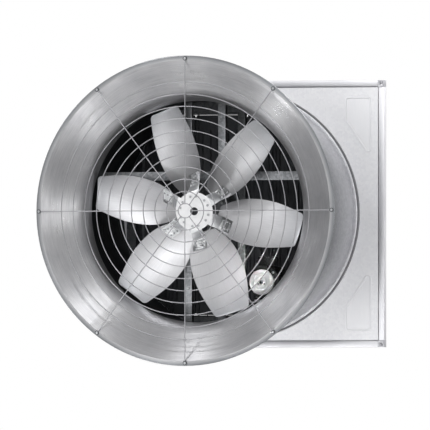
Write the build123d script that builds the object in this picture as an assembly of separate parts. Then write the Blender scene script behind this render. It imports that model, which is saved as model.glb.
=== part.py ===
from build123d import *
import math
import os

os.makedirs("parts", exist_ok=True)

# Frame: the origin is the middle of the wall flange's rear face. +Y points into the wall,
# the fan blows towards -Y, and +Z is up. The fan axis runs along Y, beside the middle.

# Fits and gaps
running_fit = 0.05
seat_gap = 0.3
cut_overrun = 5.0

# Wall panel: rails, corner castings and the front plate
plate_left_margin = 54.0
plate_right_margin = 174.0
plate_end_margin = 73.0
panel_depth = 40.0
rail_width = 34.0
rail_wall = 2.0
fin_width = 30.0
corner_size = 40.0
corner_proud = 2.0
wall_bolt_radius = 5.5
wall_washer_radius = 11.0
wall_washer_depth = 4.0
plate_sheet = 1.5
plate_recess = 10.0
plate_groove = 7.0

# Stamped ribs on the front plate
rib_height = 2.5
rib_width = 7.0
rib_top_margin = 95.0
rib_side_margin = 84.0
rib_corner_radius = 20.0
rib_tip_radius = 12.0
rib_tip_width = 28.0
right_rib_width = 151.0
right_rib_length = 315.0
right_rib_straight = 134.0
left_rib_width = 92.0
left_rib_length = 262.0
left_rib_straight = 120.0

# Inlet bell, throat and outlet cone
duct_sheet = 1.5
throat_radius = 632.0
throat_length = 190.0
bell_length = 668.0
bell_flare = 60.0
bell_lip_width = 8.0
bell_bead_radius = 6.0
gasket_thickness = 2.0
gasket_width = 16.0
duct_collar = 8.0
flange_thickness = 3.0
flange_width = 28.0
flange_bolt_count = 24
flange_bolt_radius = 3.0
flange_hole_radius = 3.4
flange_head_radius = 6.5
flange_head_height = 4.0
cone_length = 270.0
cone_bend_radius = 170.0
cone_flare_angle = 51.0
cone_bead_radius = 5.0
cone_panel_count = 4
cone_seam_angle = 49.0
strap_thickness = 2.0
strap_arc = 3.0
strap_end_margin = 22.0
strap_rivet_rows = 5
strap_rivet_radius = 5.0
strap_rivet_height = 2.5
strap_rivet_pitch_angle = 0.9

# Wire guard
guard_wire_radius = 2.8
guard_first_ring_radius = 41.0
guard_outer_gap = 64.5
guard_ring_count = 12
guard_diagonal_angle = 53.0
guard_weld_overlap = 0.8
guard_eye_outer = 9.0
guard_eye_hole = 3.4
guard_eye_clearance = 1.25
guard_screw_radius = 3.0
guard_screw_length = 14.0
guard_washer_radius = 7.5
guard_washer_thickness = 1.2
guard_screw_head_radius = 5.5
guard_screw_head_height = 4.0
guard_nut_radius = 5.5
guard_nut_height = 4.0

# Rotor: blades, arms and hub
rotor_setback = 270.0
rotor_phase_angle = 109.5
blade_count = 6
blade_tip_gap = 20.0
blade_half_width = 133.0
blade_sheet = 2.5
blade_root_pitch = 32.0
blade_tip_pitch = 20.0
blade_camber_share = 0.06
blade_outline_shares = (
    (0.193, 0.40), (0.245, 0.55), (0.294, 0.69), (0.376, 0.85), (0.474, 0.955),
    (0.588, 1.0), (0.735, 0.965), (0.866, 0.85), (0.94, 0.768), (0.967, 0.735),
    (0.98, 0.709), (0.99, 0.668), (0.9967, 0.617), (1.0, 0.549),
)
arm_sheet = 5.0
arm_width = 68.0
arm_lag_angle = 15.0
arm_root_radius = 66.0
arm_bend_radius = 112.0
arm_end_radius = 212.0
arm_pad_length = 62.0
arm_rivet_margins = (50.0, 30.0, 10.0)
arm_rivet_spread = 18.0
rivet_shank_radius = 3.0
rivet_head_radius = 6.0
rivet_head_height = 3.0
rivet_head_gap = 0.5
hub_nose = 81.0
hub_disc_radius = 109.0
hub_front_sheet = 6.0
hub_back_sheet = 5.0
hub_boss_radius = 56.0
hub_boss_length = 105.0
hub_recess_radius = 22.5
hub_recess_depth = 36.0
hub_bolt_circle = 84.0
hub_bolt_spread = 17.0
hub_bolt_radius = 4.0
hub_bolt_head_radius = 7.5
hub_bolt_head_height = 5.0

# Shaft, bearings and their posts
shaft_radius = 17.5
post_setback = 140.0
post_width = 45.0
post_depth = 40.0
post_wall = 3.0
post_spread = 100.0
bridge_sheet = 8.0
bridge_half_height = 70.0
bridge_bolt_spread = 52.0
bearing_outer_radius = 28.0
bearing_width = 16.0
housing_base_size = 110.0
housing_base_thickness = 14.0
housing_boss_radius = 44.0
housing_length = 30.0
housing_bolt_spread = 41.0
frame_bolt_radius = 4.0
frame_head_radius = 7.5
frame_head_height = 5.5
upper_beam_height = 205.0
upper_beam_width = 50.0
upper_beam_depth = 24.0

# Belt drive
belt_plane_setback = 250.0
belt_width = 13.0
belt_thickness = 9.0
fan_pulley_radius = 190.0
motor_pulley_radius = 72.0
pulley_width = 26.0
pulley_rim = 22.0
pulley_web = 8.0
fan_pulley_boss_radius = 38.0
fan_pulley_boss_length = 44.0
fan_pulley_window_count = 5
fan_pulley_window_radius = 42.0
motor_pulley_boss_radius = 26.0
motor_pulley_boss_length = 30.0

# Motor
motor_axis_x = 308.0
motor_drop = 400.0
motor_shaft_radius = 12.0
motor_shaft_nose = 8.0
motor_shield_radius = 92.0
motor_shield_thickness = 14.0
motor_nose_radius = 44.0
motor_nose_length = 12.0
motor_gap = 6.0
motor_core_radius = 84.0
motor_fin_radius = 96.0
motor_fin_thickness = 3.0
motor_fin_count = 28
motor_body_length = 165.0
motor_bore_radius = 60.0
motor_rotor_radius = 59.0
motor_foot_half_width = 62.0
motor_foot_length = 32.0
motor_foot_inset = 14.0
motor_foot_thickness = 10.0
motor_shaft_height = 98.0
cooling_fan_radius = 70.0
cooling_fan_length = 26.0
cooling_fan_blade_count = 8
cooling_fan_blade_thickness = 3.0
cover_sheet = 2.0
cover_radius = 97.0
cover_length = 64.0
cover_slot_count = 12
cover_slot_width = 8.0
cover_slot_inner = 26.0
cover_slot_outer = 80.0
terminal_box_width = 92.0
terminal_box_length = 96.0
terminal_box_height = 46.0
terminal_neck_width = 60.0
terminal_neck_sink = 6.0
gland_radius = 11.0
gland_nut_radius = 14.0
gland_length = 24.0
gland_nut_length = 12.0
slide_rail_height = 12.0
slide_rail_width = 26.0
slide_rail_half_length = 64.0
slide_slot_width = 9.0
shelf_sheet = 4.0
shelf_right_edge = 374.0
shelf_flange_height = 72.0
motor_post_setback = 410.0
motor_bolt_spread = 50.5

# Intake shutter
shutter_depth = 168.0
shutter_flange_margin = 50.0
shutter_sheet = 2.0
shutter_half_height = 586.0
slat_count = 8
slat_pitch = 154.0
slat_gap = 5.0
slat_sheet = 1.5
slat_end_gap = 11.0
slat_pivot_inset = 14.0
slat_pin_radius = 4.0
slat_fold = 12.0
slat_seal_gap = 1.0
slat_seal_reach = 13.0
slat_seal_end_gap = 10.0
slat_plane_y = 137.0
shutter_side_gap = 13.0
stop_left_width = 12.0
stop_right_width = 24.0
stop_front_gap = 1.5
end_lip_depth = 12.0
end_lip_gap = 1.5
tie_arm = 56.0
tie_offset = 14.0
tie_tab_width = 16.0
tie_tab_margin = 6.0
tie_pin_radius = 3.0
tie_pin_length = 9.0
tie_bar_thickness = 3.0
tie_bar_width = 12.0
tie_bar_gap = 3.0
tie_bar_overhang = 10.0

# Sizes that follow from the throat
bell_mouth_radius = throat_radius + bell_flare
gasket_outer_radius = bell_mouth_radius + gasket_width
blade_tip_radius = throat_radius - blade_tip_gap
panel_width = 2 * bell_mouth_radius + plate_left_margin + plate_right_margin
panel_height = 2 * (bell_mouth_radius + plate_end_margin)
fan_axis_x = (plate_left_margin - plate_right_margin) / 2
motor_axis_z = -motor_drop

# The arm's pad and its rivets are set back from the arm's end
arm_pad_start = arm_end_radius - arm_pad_length
arm_rivet_radii = [arm_end_radius - margin for margin in arm_rivet_margins]

# The cone's lip takes the guard's eyes beside its rolled edge
guard_eye_inset = guard_eye_outer + guard_eye_clearance
cone_lip_width = guard_eye_inset + guard_nut_radius + guard_eye_clearance + cone_bead_radius

# The shutter's flange lies behind the rails' fins, flush with the rear of the rails
fin_rear_y = -shutter_sheet
fin_front_y = fin_rear_y - rail_wall

# Stations along the fan axis, from the wall towards the outlet
plate_front_y = plate_recess - panel_depth
gasket_front_y = plate_front_y - gasket_thickness
throat_rear_y = gasket_front_y - bell_length
throat_front_y = throat_rear_y - throat_length
rim_y = throat_front_y - cone_length
rotor_y = rim_y + rotor_setback
hub_front_y = rotor_y - hub_nose
arm_front_y = hub_front_y + hub_front_sheet
arm_rear_y = arm_front_y + arm_sheet
hub_recess_end_y = hub_front_y + hub_recess_depth
hub_boss_end_y = arm_front_y + hub_boss_length
post_front_y = rotor_y + post_setback
post_rear_y = post_front_y + post_depth
bridge_front_y = post_front_y - bridge_sheet
bridge_rear_y = post_rear_y + bridge_sheet
belt_y = rotor_y + belt_plane_setback
motor_post_y = post_rear_y + motor_post_setback - post_depth
flange_radius = throat_radius + duct_sheet + flange_width
flange_bolt_circle = throat_radius + duct_sheet + flange_width / 2


def block(x_low, x_high, y_low, y_high, z_low, z_high):
    """A box between two corners."""
    middle = Pos((x_low + x_high) / 2, (y_low + y_high) / 2, (z_low + z_high) / 2)
    return middle * Box(x_high - x_low, y_high - y_low, z_high - z_low)


def rod_along_y(radius, y_low, y_high, x=0.0, z=0.0):
    """A cylinder parallel to the fan axis."""
    return Pos(x, (y_low + y_high) / 2, z) * Rot(90, 0, 0) * Cylinder(radius, y_high - y_low)


def rod_along_z(radius, z_low, z_high, x=0.0, y=0.0):
    """An upright cylinder."""
    return Pos(x, y, (z_low + z_high) / 2) * Cylinder(radius, z_high - z_low)


def tube_along_y(outer, inner, y_low, y_high):
    """A ring or tube round the fan axis."""
    bore = rod_along_y(inner, y_low - cut_overrun, y_high + cut_overrun)
    return rod_along_y(outer, y_low, y_high) - bore


def turned(shape, angle):
    """The shape turned about the fan axis, anticlockwise as the outlet side sees it."""
    return Rot(0, -angle, 0) * shape


def on_fan_axis(shape):
    """Move a shape drawn round the Y axis to the fan axis."""
    return Pos(fan_axis_x, 0, 0) * shape


def group(shapes):
    """Separate solids that share one node."""
    solids = []
    for shape in shapes:
        solids.extend(shape.solids())
    return Compound(solids)


def spin(face, arc=360.0):
    """Turn a face, drawn as radius and Y, about the fan axis."""
    return revolve(face, axis=Axis.Y, revolution_arc=arc)


def profile(*edges):
    """A face bounded by edges given in order."""
    return Face(Wire(edges))


def line(start, end):
    """A straight edge between two points of a radial section."""
    return Edge.make_line((start[0], start[1], 0), (end[0], end[1], 0))


def ring_of_holes(radius, circle, count, first_angle, y_low, y_high):
    """Cutters for holes spaced evenly on a circle round the fan axis."""
    cutter = rod_along_y(radius, y_low - cut_overrun, y_high + cut_overrun, x=circle)
    return group([turned(cutter, first_angle + 360.0 * i / count) for i in range(count)])


def forward_bolt(shank_radius, shank_length, head_radius, head_height):
    """A hexagon bolt whose head faces the outlet; its seat is at Y zero."""
    head = extrude(Plane.XZ * RegularPolygon(head_radius, 6), head_height)
    return head + rod_along_y(shank_radius, 0, shank_length)


def rail(length_half, edge, mitre):
    """One side of the wall panel: a box tube with a fin that carries the front plate."""
    tube = block(-length_half, length_half, -panel_depth, 0, edge - rail_width, edge)
    hollow = block(
        -length_half - cut_overrun, length_half + cut_overrun,
        rail_wall - panel_depth, -rail_wall,
        edge - rail_width + rail_wall, edge - rail_wall,
    )
    fin = block(
        mitre - length_half, length_half - mitre, fin_front_y, fin_rear_y,
        edge - rail_width - fin_width, edge - rail_width,
    )
    return tube - hollow + fin


def make_rails():
    """The four rails that frame the wall panel."""
    across = panel_width / 2 - corner_size
    upright = panel_height / 2 - corner_size
    side_mitre = rail_width + fin_width - corner_size
    top = rail(across, panel_height / 2, 0.0)
    side = rail(upright, panel_width / 2, side_mitre)
    return {
        "rail_top": top,
        "rail_bottom": Rot(0, 180, 0) * top,
        "rail_right": Rot(0, 90, 0) * side,
        "rail_left": Rot(0, -90, 0) * side,
    }


def make_corner_castings():
    """Corner pieces that join the rails and take the wall bolts."""
    castings = []
    for side in (-1, 1):
        for level in (-1, 1):
            middle_x = side * (panel_width - corner_size) / 2
            middle_z = level * (panel_height - corner_size) / 2
            half = corner_size / 2
            body = block(
                middle_x - half, middle_x + half, -panel_depth - corner_proud, 0,
                middle_z - half, middle_z + half,
            )
            front = -panel_depth - corner_proud
            washer_seat = rod_along_y(
                wall_washer_radius, front - cut_overrun, front + wall_washer_depth,
                middle_x, middle_z,
            )
            hole = rod_along_y(
                wall_bolt_radius, front - cut_overrun, cut_overrun, middle_x, middle_z,
            )
            castings.append(body - washer_seat - hole)
    return {"corner_castings": group(castings)}


def rib_outline(width, length, straight, side):
    """A stamped rib's closed outline, for the corner at the top of one side."""
    top = panel_height / 2 - rib_top_margin
    outer = panel_width / 2 - rib_side_margin
    points = [
        (side * (outer - width), top),
        (side * outer, top),
        (side * outer, top - length),
        (side * (outer - rib_tip_width), top - length),
        (side * (outer - width), top - straight),
    ]
    radii = [rib_corner_radius, rib_corner_radius, rib_tip_radius, rib_tip_radius, rib_corner_radius]
    return make_face(FilletPolyline(*points, radius=radii, close=True))


def make_front_plate():
    """The pressed front plate with its round opening, folded edges and stamped ribs."""
    half_width = panel_width / 2 - rail_width - plate_groove
    half_height = panel_height / 2 - rail_width - plate_groove
    rear = fin_front_y
    pan = block(-half_width, half_width, plate_front_y, rear, -half_height, half_height)
    inside = block(
        plate_sheet - half_width, half_width - plate_sheet,
        plate_front_y + plate_sheet, rear + cut_overrun,
        plate_sheet - half_height, half_height - plate_sheet,
    )
    opening = rod_along_y(
        bell_mouth_radius, plate_front_y - cut_overrun, cut_overrun, fan_axis_x,
    )
    plate = pan - inside - opening
    ribs = (
        (right_rib_width, right_rib_length, right_rib_straight, 1),
        (left_rib_width, left_rib_length, left_rib_straight, -1),
    )
    for width, length, straight, side in ribs:
        outline = rib_outline(width, length, straight, side)
        bead = outline - offset(outline, -rib_width)
        raised = Pos(0, plate_front_y, 0) * extrude(Plane.XZ * bead, rib_height)
        plate = plate + raised + mirror(raised, Plane.XY)
    return {"front_plate": plate}


def duct_holes(y_low, y_high):
    """Cutters for the bolt holes of one duct flange."""
    first = cone_seam_angle + 180.0 / flange_bolt_count
    return ring_of_holes(
        flange_hole_radius, flange_bolt_circle, flange_bolt_count, first, y_low, y_high,
    )


def make_inlet_bell():
    """The inlet bell from the plate to the throat, and the gasket under its lip."""
    front = throat_rear_y
    tail = gasket_front_y - 2 * bell_bead_radius
    outer_throat = throat_radius + duct_sheet
    wall = make_face(Polyline(
        (throat_radius, front),
        (throat_radius, front + duct_collar),
        (bell_mouth_radius, tail),
        (bell_mouth_radius, gasket_front_y),
        (bell_mouth_radius + duct_sheet, gasket_front_y),
        (bell_mouth_radius + duct_sheet, tail),
        (outer_throat, front + duct_collar),
        (outer_throat, front),
        close=True,
    ))
    lip = tube_along_y(
        bell_mouth_radius + bell_lip_width, bell_mouth_radius, tail, gasket_front_y,
    )
    bead_centre = (bell_mouth_radius + bell_lip_width, gasket_front_y - bell_bead_radius)
    bead = spin(Pos(bead_centre[0], bead_centre[1], 0) * Circle(bell_bead_radius))
    flange = tube_along_y(flange_radius, throat_radius, front, front + flange_thickness)
    bell = spin(wall) + lip + bead + flange - duct_holes(front, front + flange_thickness)
    gasket = tube_along_y(gasket_outer_radius, bell_mouth_radius, gasket_front_y, plate_front_y)
    return {"inlet_bell": on_fan_axis(bell), "collar_gasket": on_fan_axis(gasket)}


def bell_inside():
    """The space inside the bell and throat, for fitting posts to their walls."""
    outline = make_face(Polyline(
        (0, throat_front_y),
        (throat_radius, throat_front_y),
        (throat_radius, throat_rear_y + duct_collar),
        (bell_mouth_radius, gasket_front_y - 2 * bell_bead_radius),
        (0, gasket_front_y - 2 * bell_bead_radius),
        close=True,
    ))
    return on_fan_axis(spin(outline))


def make_throat():
    """The plain round throat that the blades run in, with a bolting flange at each end."""
    outer = throat_radius + duct_sheet
    ring = tube_along_y(outer, throat_radius, throat_front_y, throat_rear_y)
    ends = (
        (throat_front_y, throat_front_y + flange_thickness),
        (throat_rear_y - flange_thickness, throat_rear_y),
    )
    for low, high in ends:
        ring = ring + tube_along_y(flange_radius, throat_radius, low, high) - duct_holes(low, high)
    return {"throat_ring": on_fan_axis(ring)}


def cone_curve():
    """Points of the cone's air side: bend start, bend middle, bend end and lip corner."""
    flare = math.radians(cone_flare_angle)
    start_y = throat_front_y - duct_collar
    centre = (throat_radius + cone_bend_radius, start_y)

    def on_bend(angle, radius):
        return (centre[0] - radius * math.cos(angle), centre[1] - radius * math.sin(angle))

    bend_end = on_bend(flare, cone_bend_radius)
    run = (bend_end[1] - rim_y) / math.cos(flare)
    lip_corner = (bend_end[0] + run * math.sin(flare), rim_y)
    inner = [on_bend(0, cone_bend_radius), on_bend(flare / 2, cone_bend_radius), bend_end]
    outer_radius = cone_bend_radius - duct_sheet
    outer = [on_bend(0, outer_radius), on_bend(flare / 2, outer_radius), on_bend(flare, outer_radius)]
    back_run = (outer[2][1] - rim_y - duct_sheet) / math.cos(flare)
    back_corner = (outer[2][0] + back_run * math.sin(flare), rim_y + duct_sheet)
    return inner, lip_corner, outer, back_corner


def cone_section():
    """The cone's wall: a bend, a straight flare and a flat lip."""
    inner, lip_corner, outer, back_corner = cone_curve()
    lip_end = lip_corner[0] + cone_lip_width
    bend_in = Edge.make_three_point_arc(*[(p[0], p[1], 0) for p in inner])
    bend_out = Edge.make_three_point_arc(*[(p[0], p[1], 0) for p in reversed(outer)])
    return profile(
        line((throat_radius, throat_front_y), inner[0]),
        bend_in,
        line(inner[2], lip_corner),
        line(lip_corner, (lip_end, rim_y)),
        line((lip_end, rim_y), (lip_end, rim_y + duct_sheet)),
        line((lip_end, rim_y + duct_sheet), back_corner),
        line(back_corner, outer[2]),
        bend_out,
        line(outer[0], (throat_radius + duct_sheet, throat_front_y)),
        line((throat_radius + duct_sheet, throat_front_y), (throat_radius, throat_front_y)),
    )


def guard_angles():
    """Directions of the guard's radial wires."""
    lean = guard_diagonal_angle
    return (0.0, lean, 90.0, 180.0 - lean, 180.0, 180.0 + lean, 270.0, 360.0 - lean)


def guard_eye_radius():
    """Where the guard's screws stand, on the middle of the cone's lip."""
    return cone_curve()[1][0] + guard_eye_inset


def make_outlet_cone():
    """The flared outlet cone: equal pressed panels that meet at radial seams."""
    panel_arc = 360.0 / cone_panel_count
    wall = spin(cone_section(), panel_arc)
    lip_corner = cone_curve()[1]
    bead_face = Pos(lip_corner[0] + cone_lip_width, rim_y + cone_bead_radius, 0) * Circle(
        cone_bead_radius)
    flange_face = make_face(Polyline(
        (throat_radius, throat_front_y),
        (flange_radius, throat_front_y),
        (flange_radius, throat_front_y - flange_thickness),
        (throat_radius, throat_front_y - flange_thickness),
        close=True,
    ))
    panel = wall + spin(bead_face, panel_arc) + spin(flange_face, panel_arc)
    screw_hole = rod_along_y(
        guard_eye_hole, rim_y - cut_overrun, rim_y + 2 * duct_sheet, guard_eye_radius(),
    )
    cutters = [duct_holes(throat_front_y - flange_thickness, throat_front_y)]
    cutters += [turned(screw_hole, angle) for angle in guard_angles()]
    panels = []
    for i in range(cone_panel_count):
        piece = turned(panel, cone_seam_angle + panel_arc * (i + 1))
        for cutter in cutters:
            piece = piece - cutter
        panels.append(on_fan_axis(piece))
    return {"outlet_cone": group(panels)}


def make_cone_straps():
    """Straps riveted over the cone's seams from outside, and their rivets."""
    flare = math.radians(cone_flare_angle)
    inner, lip_corner, outer, back_corner = cone_curve()
    along = (math.sin(flare), -math.cos(flare))
    out = (math.cos(flare), math.sin(flare))
    run = math.dist(outer[2], back_corner)

    def place(distance, height):
        return (
            outer[2][0] + along[0] * distance + out[0] * height,
            outer[2][1] + along[1] * distance + out[1] * height,
        )

    near = strap_end_margin
    far = run - strap_end_margin
    section = make_face(Polyline(
        place(near, 0), place(far, 0), place(far, strap_thickness), place(near, strap_thickness),
        close=True,
    ))
    strap = turned(spin(section, strap_arc), strap_arc / 2)
    straps = []
    rivets = []
    step = (far - near) / strap_rivet_rows
    for i in range(cone_panel_count):
        seam = cone_seam_angle + 360.0 * i / cone_panel_count
        straps.append(on_fan_axis(turned(strap, seam)))
        for row in range(strap_rivet_rows):
            seat = place(near + step * (row + 0.5), strap_thickness)
            plane = Plane(origin=(seat[0], seat[1], 0), z_dir=(out[0], out[1], 0))
            dome = extrude(plane * Circle(strap_rivet_radius), strap_rivet_height)
            for lean in (-strap_rivet_pitch_angle, strap_rivet_pitch_angle):
                rivets.append(on_fan_axis(turned(dome, seam + lean)))
    return {"cone_straps": group(straps), "cone_rivets": group(rivets)}


def make_guard():
    """The wire guard: welded rings and radial wires that end in screw eyes."""
    radial_y = rim_y - guard_wire_radius
    ring_y = radial_y + 2 * guard_wire_radius - guard_weld_overlap
    eye_radius = guard_eye_radius()
    last_ring = eye_radius - guard_outer_gap
    pitch = (last_ring - guard_first_ring_radius) / (guard_ring_count - 1)
    wires = []
    for i in range(guard_ring_count):
        radius = guard_first_ring_radius + pitch * i
        wires.append(spin(Pos(radius, ring_y, 0) * Circle(guard_wire_radius)))
    spoke_start = guard_first_ring_radius - guard_wire_radius
    spoke_end = eye_radius - guard_eye_hole - guard_wire_radius
    spoke = Pos((spoke_start + spoke_end) / 2, radial_y, 0) * Rot(0, 90, 0) * Cylinder(
        guard_wire_radius, spoke_end - spoke_start)
    eye = Pos(eye_radius, 0, 0) * tube_along_y(
        guard_eye_outer, guard_eye_hole, rim_y - 2 * guard_wire_radius, rim_y)
    spoke = spoke + eye
    guard = wires[0]
    for wire in wires[1:]:
        guard = guard + wire
    for angle in guard_angles():
        guard = guard + turned(spoke, angle)
    screw_seat = rim_y - 2 * guard_wire_radius - guard_washer_thickness
    washer = tube_along_y(
        guard_washer_radius, guard_screw_radius, screw_seat, screw_seat + guard_washer_thickness,
    )
    head = rod_along_y(
        guard_screw_head_radius, screw_seat - guard_screw_head_height, screw_seat,
    )
    screw = washer + head + rod_along_y(
        guard_screw_radius, screw_seat, screw_seat + guard_screw_length)
    nut_seat = rim_y + duct_sheet + guard_nut_height
    nut = Pos(0, nut_seat, 0) * extrude(Plane.XZ * RegularPolygon(guard_nut_radius, 6), guard_nut_height)
    placed = Pos(eye_radius, 0, 0) * (screw + nut)
    screws = [on_fan_axis(turned(placed, angle)) for angle in guard_angles()]
    return {"front_guard": on_fan_axis(guard), "guard_screws": group(screws)}


def make_flange_bolts():
    """Bolts and nuts that join the cone, throat and bell at their flanges."""
    first = cone_seam_angle + 180.0 / flange_bolt_count
    grip = 2 * flange_thickness
    bolt = forward_bolt(
        flange_bolt_radius, grip + flange_head_height, flange_head_radius, flange_head_height,
    )
    nut = Pos(0, grip + flange_head_height, 0) * extrude(
        Plane.XZ * RegularPolygon(flange_head_radius, 6), flange_head_height)
    fastener = bolt + nut
    bolts = []
    for joint_y in (throat_front_y, throat_rear_y):
        seated = Pos(flange_bolt_circle, joint_y - flange_thickness, 0) * fastener
        for i in range(flange_bolt_count):
            bolts.append(on_fan_axis(turned(seated, first + 360.0 * i / flange_bolt_count)))
    return {"flange_bolts": group(bolts)}


def blade_pitch(radius):
    """The blade's pitch in degrees at a radius."""
    root = blade_outline_shares[0][0] * blade_tip_radius
    share = (radius - root) / (blade_tip_radius - root)
    return blade_root_pitch + (blade_tip_pitch - blade_root_pitch) * share


def blade_chord_half(radius):
    """Half of the blade's chord at a radius, between the outline's stations."""
    stations = [(r * blade_tip_radius, w * blade_half_width) for r, w in blade_outline_shares]
    for (low, low_width), (high, high_width) in zip(stations, stations[1:]):
        if radius <= high:
            share = (radius - low) / (high - low)
            width = low_width + (high_width - low_width) * share
            return width / math.cos(math.radians(blade_pitch(radius)))
    return stations[-1][1] / math.cos(math.radians(blade_pitch(radius)))


def blade_point(radius, along, depth):
    """A point on the blade: along its chord, and depth behind its middle surface."""
    pitch = math.radians(blade_pitch(radius))
    half = blade_chord_half(radius)
    bow = 2 * half * blade_camber_share * (1 - (along / half) ** 2) + depth
    tangent = along * math.cos(pitch) - bow * math.sin(pitch)
    axial = rotor_y + along * math.sin(pitch) + bow * math.cos(pitch)
    return Vector(radius, axial, tangent)


def blade_front_y(radius, tangent):
    """Where the blade's outlet side lies, at a radius and a sideways distance."""
    along = tangent / math.cos(math.radians(blade_pitch(radius)))
    for _ in range(8):
        here = blade_point(radius, along, -blade_sheet / 2)
        along += (tangent - here.Z) / math.cos(math.radians(blade_pitch(radius)))
    return blade_point(radius, along, -blade_sheet / 2).Y


def blade_section(radius):
    """The blade's thin cambered section at a radius."""
    half = blade_chord_half(radius)
    faces = []
    for depth in (-blade_sheet / 2, blade_sheet / 2):
        faces.append([blade_point(radius, along, depth) for along in (-half, 0, half)])
    front, back = faces
    return profile(
        Edge.make_three_point_arc(*front),
        Edge.make_line(front[2], back[2]),
        Edge.make_three_point_arc(*reversed(back)),
        Edge.make_line(back[0], front[0]),
    )


def arm_section(radius):
    """The arm's strip section at a radius: flat at the hub, on the blade's face at its pad."""
    middle = -radius * math.tan(math.radians(arm_lag_angle))
    reach = arm_width / 2 / math.cos(math.radians(arm_lag_angle))
    low = middle - reach
    high = middle + reach
    if radius <= arm_bend_radius:
        back_low = arm_rear_y
        back_high = arm_rear_y
    else:
        back_low = blade_front_y(radius, low) - seat_gap
        back_high = blade_front_y(radius, high) - seat_gap
    slope = math.atan2(back_high - back_low, high - low)
    lift = (-math.cos(slope) * arm_sheet, math.sin(slope) * arm_sheet)
    return [
        Vector(radius, back_low, low),
        Vector(radius, back_high, high),
        Vector(radius, back_high + lift[0], high + lift[1]),
        Vector(radius, back_low + lift[0], low + lift[1]),
    ]


def arm_face_point(radius, share):
    """A point on the arm's outlet face, at a share of its width."""
    corners = arm_section(radius)
    return corners[3] + (corners[2] - corners[3]) * share


def arm_across(radius):
    """The direction across the arm's outlet face at a radius."""
    corners = arm_section(radius)
    return corners[2] - corners[3]


def arm_rivet_places():
    """Seat and outward direction of each rivet that joins an arm to its blade."""
    places = []
    step = rivet_head_radius
    for radius in arm_rivet_radii:
        for side in (-1, 1):
            share = 0.5 + side * arm_rivet_spread / arm_width
            seat = arm_face_point(radius, share)
            along = arm_face_point(radius + step, share) - arm_face_point(radius - step, share)
            places.append((seat, along.cross(arm_across(radius)).normalized()))
    return places


def make_blade_set():
    """Blades, the arms that carry them and the rivets between them."""
    radii = [share * blade_tip_radius for share, width in blade_outline_shares]
    blade = loft([blade_section(radius) for radius in radii])
    stations = (arm_root_radius, arm_bend_radius, arm_pad_start, *arm_rivet_radii, arm_end_radius)
    arm = loft([Face(Wire.make_polygon(arm_section(radius))) for radius in stations], ruled=True)
    rivets = []
    depth = arm_sheet + blade_sheet + 2 * seat_gap + rivet_head_height
    for seat, outward in arm_rivet_places():
        plane = Plane(origin=seat + outward * rivet_head_gap, z_dir=outward)
        head = extrude(plane * Circle(rivet_head_radius), rivet_head_height)
        shank = extrude(plane * Circle(rivet_shank_radius), -depth)
        hole = extrude(plane * Circle(rivet_shank_radius), -2 * depth)
        arm = arm - hole
        blade = blade - hole
        rivets.append(head + shank)
    hub_bolt_hole = rod_along_y(
        hub_bolt_radius, arm_front_y - cut_overrun, arm_rear_y + cut_overrun, hub_bolt_circle)
    for side in (-1, 1):
        arm = arm - turned(Pos(0, 0, side * hub_bolt_spread) * hub_bolt_hole, -arm_lag_angle)
    nodes = {}
    all_arms = []
    all_rivets = []
    for i in range(blade_count):
        angle = rotor_phase_angle - 360.0 * i / blade_count
        nodes[f"blade_{i + 1}"] = on_fan_axis(turned(blade, angle))
        all_arms.append(on_fan_axis(turned(arm, angle)))
        all_rivets += [on_fan_axis(turned(rivet, angle)) for rivet in rivets]
    nodes["blade_arms"] = group(all_arms)
    nodes["blade_rivets"] = group(all_rivets)
    return nodes


def arm_angles():
    """Directions of the arms at the hub."""
    return [rotor_phase_angle - arm_lag_angle - 360.0 * i / blade_count for i in range(blade_count)]


def make_hub():
    """The hub's front disc, its boss with a rear disc, and the bolts through the arms."""
    seat_y = hub_front_y
    rear_y = arm_rear_y + hub_back_sheet
    disc = tube_along_y(hub_disc_radius, hub_recess_radius, hub_front_y, arm_front_y)
    boss = rod_along_y(hub_boss_radius, arm_front_y, hub_boss_end_y)
    boss = boss + rod_along_y(hub_disc_radius, arm_rear_y, rear_y)
    boss = boss - rod_along_y(hub_recess_radius, arm_front_y - cut_overrun, hub_recess_end_y)
    boss = boss - rod_along_y(shaft_radius, hub_recess_end_y - cut_overrun, hub_boss_end_y + cut_overrun)
    grip = rear_y - seat_y
    bolt = forward_bolt(
        hub_bolt_radius, grip, hub_bolt_head_radius, hub_bolt_head_height,
    ) + Pos(0, grip + hub_bolt_head_height, 0) * extrude(
        Plane.XZ * RegularPolygon(hub_bolt_head_radius, 6), hub_bolt_head_height)
    bolts = []
    for angle in arm_angles():
        for side in (-1, 1):
            place = Pos(hub_bolt_circle, 0, side * hub_bolt_spread)
            hole = turned(place * rod_along_y(
                hub_bolt_radius, seat_y - cut_overrun, rear_y + cut_overrun), angle)
            disc = disc - hole
            boss = boss - hole
            bolts.append(on_fan_axis(turned(place * Pos(0, seat_y, 0) * bolt, angle)))
    return {
        "hub_front_disc": on_fan_axis(disc),
        "hub_boss": on_fan_axis(boss),
        "hub_bolts": group(bolts),
    }


def make_shaft():
    """The fan shaft and the bearing rings that turn with it."""
    tail = belt_y + fan_pulley_boss_length / 2
    shaft = rod_along_y(shaft_radius, hub_recess_end_y, tail)
    rings = []
    for face_y, step in ((bridge_front_y, -1), (bridge_rear_y, 1)):
        middle = face_y + step * housing_length / 2
        rings.append(on_fan_axis(tube_along_y(
            bearing_outer_radius, shaft_radius,
            middle - bearing_width / 2, middle + bearing_width / 2,
        )))
    return {"fan_shaft": on_fan_axis(shaft), "bearing_rings": group(rings)}


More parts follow.
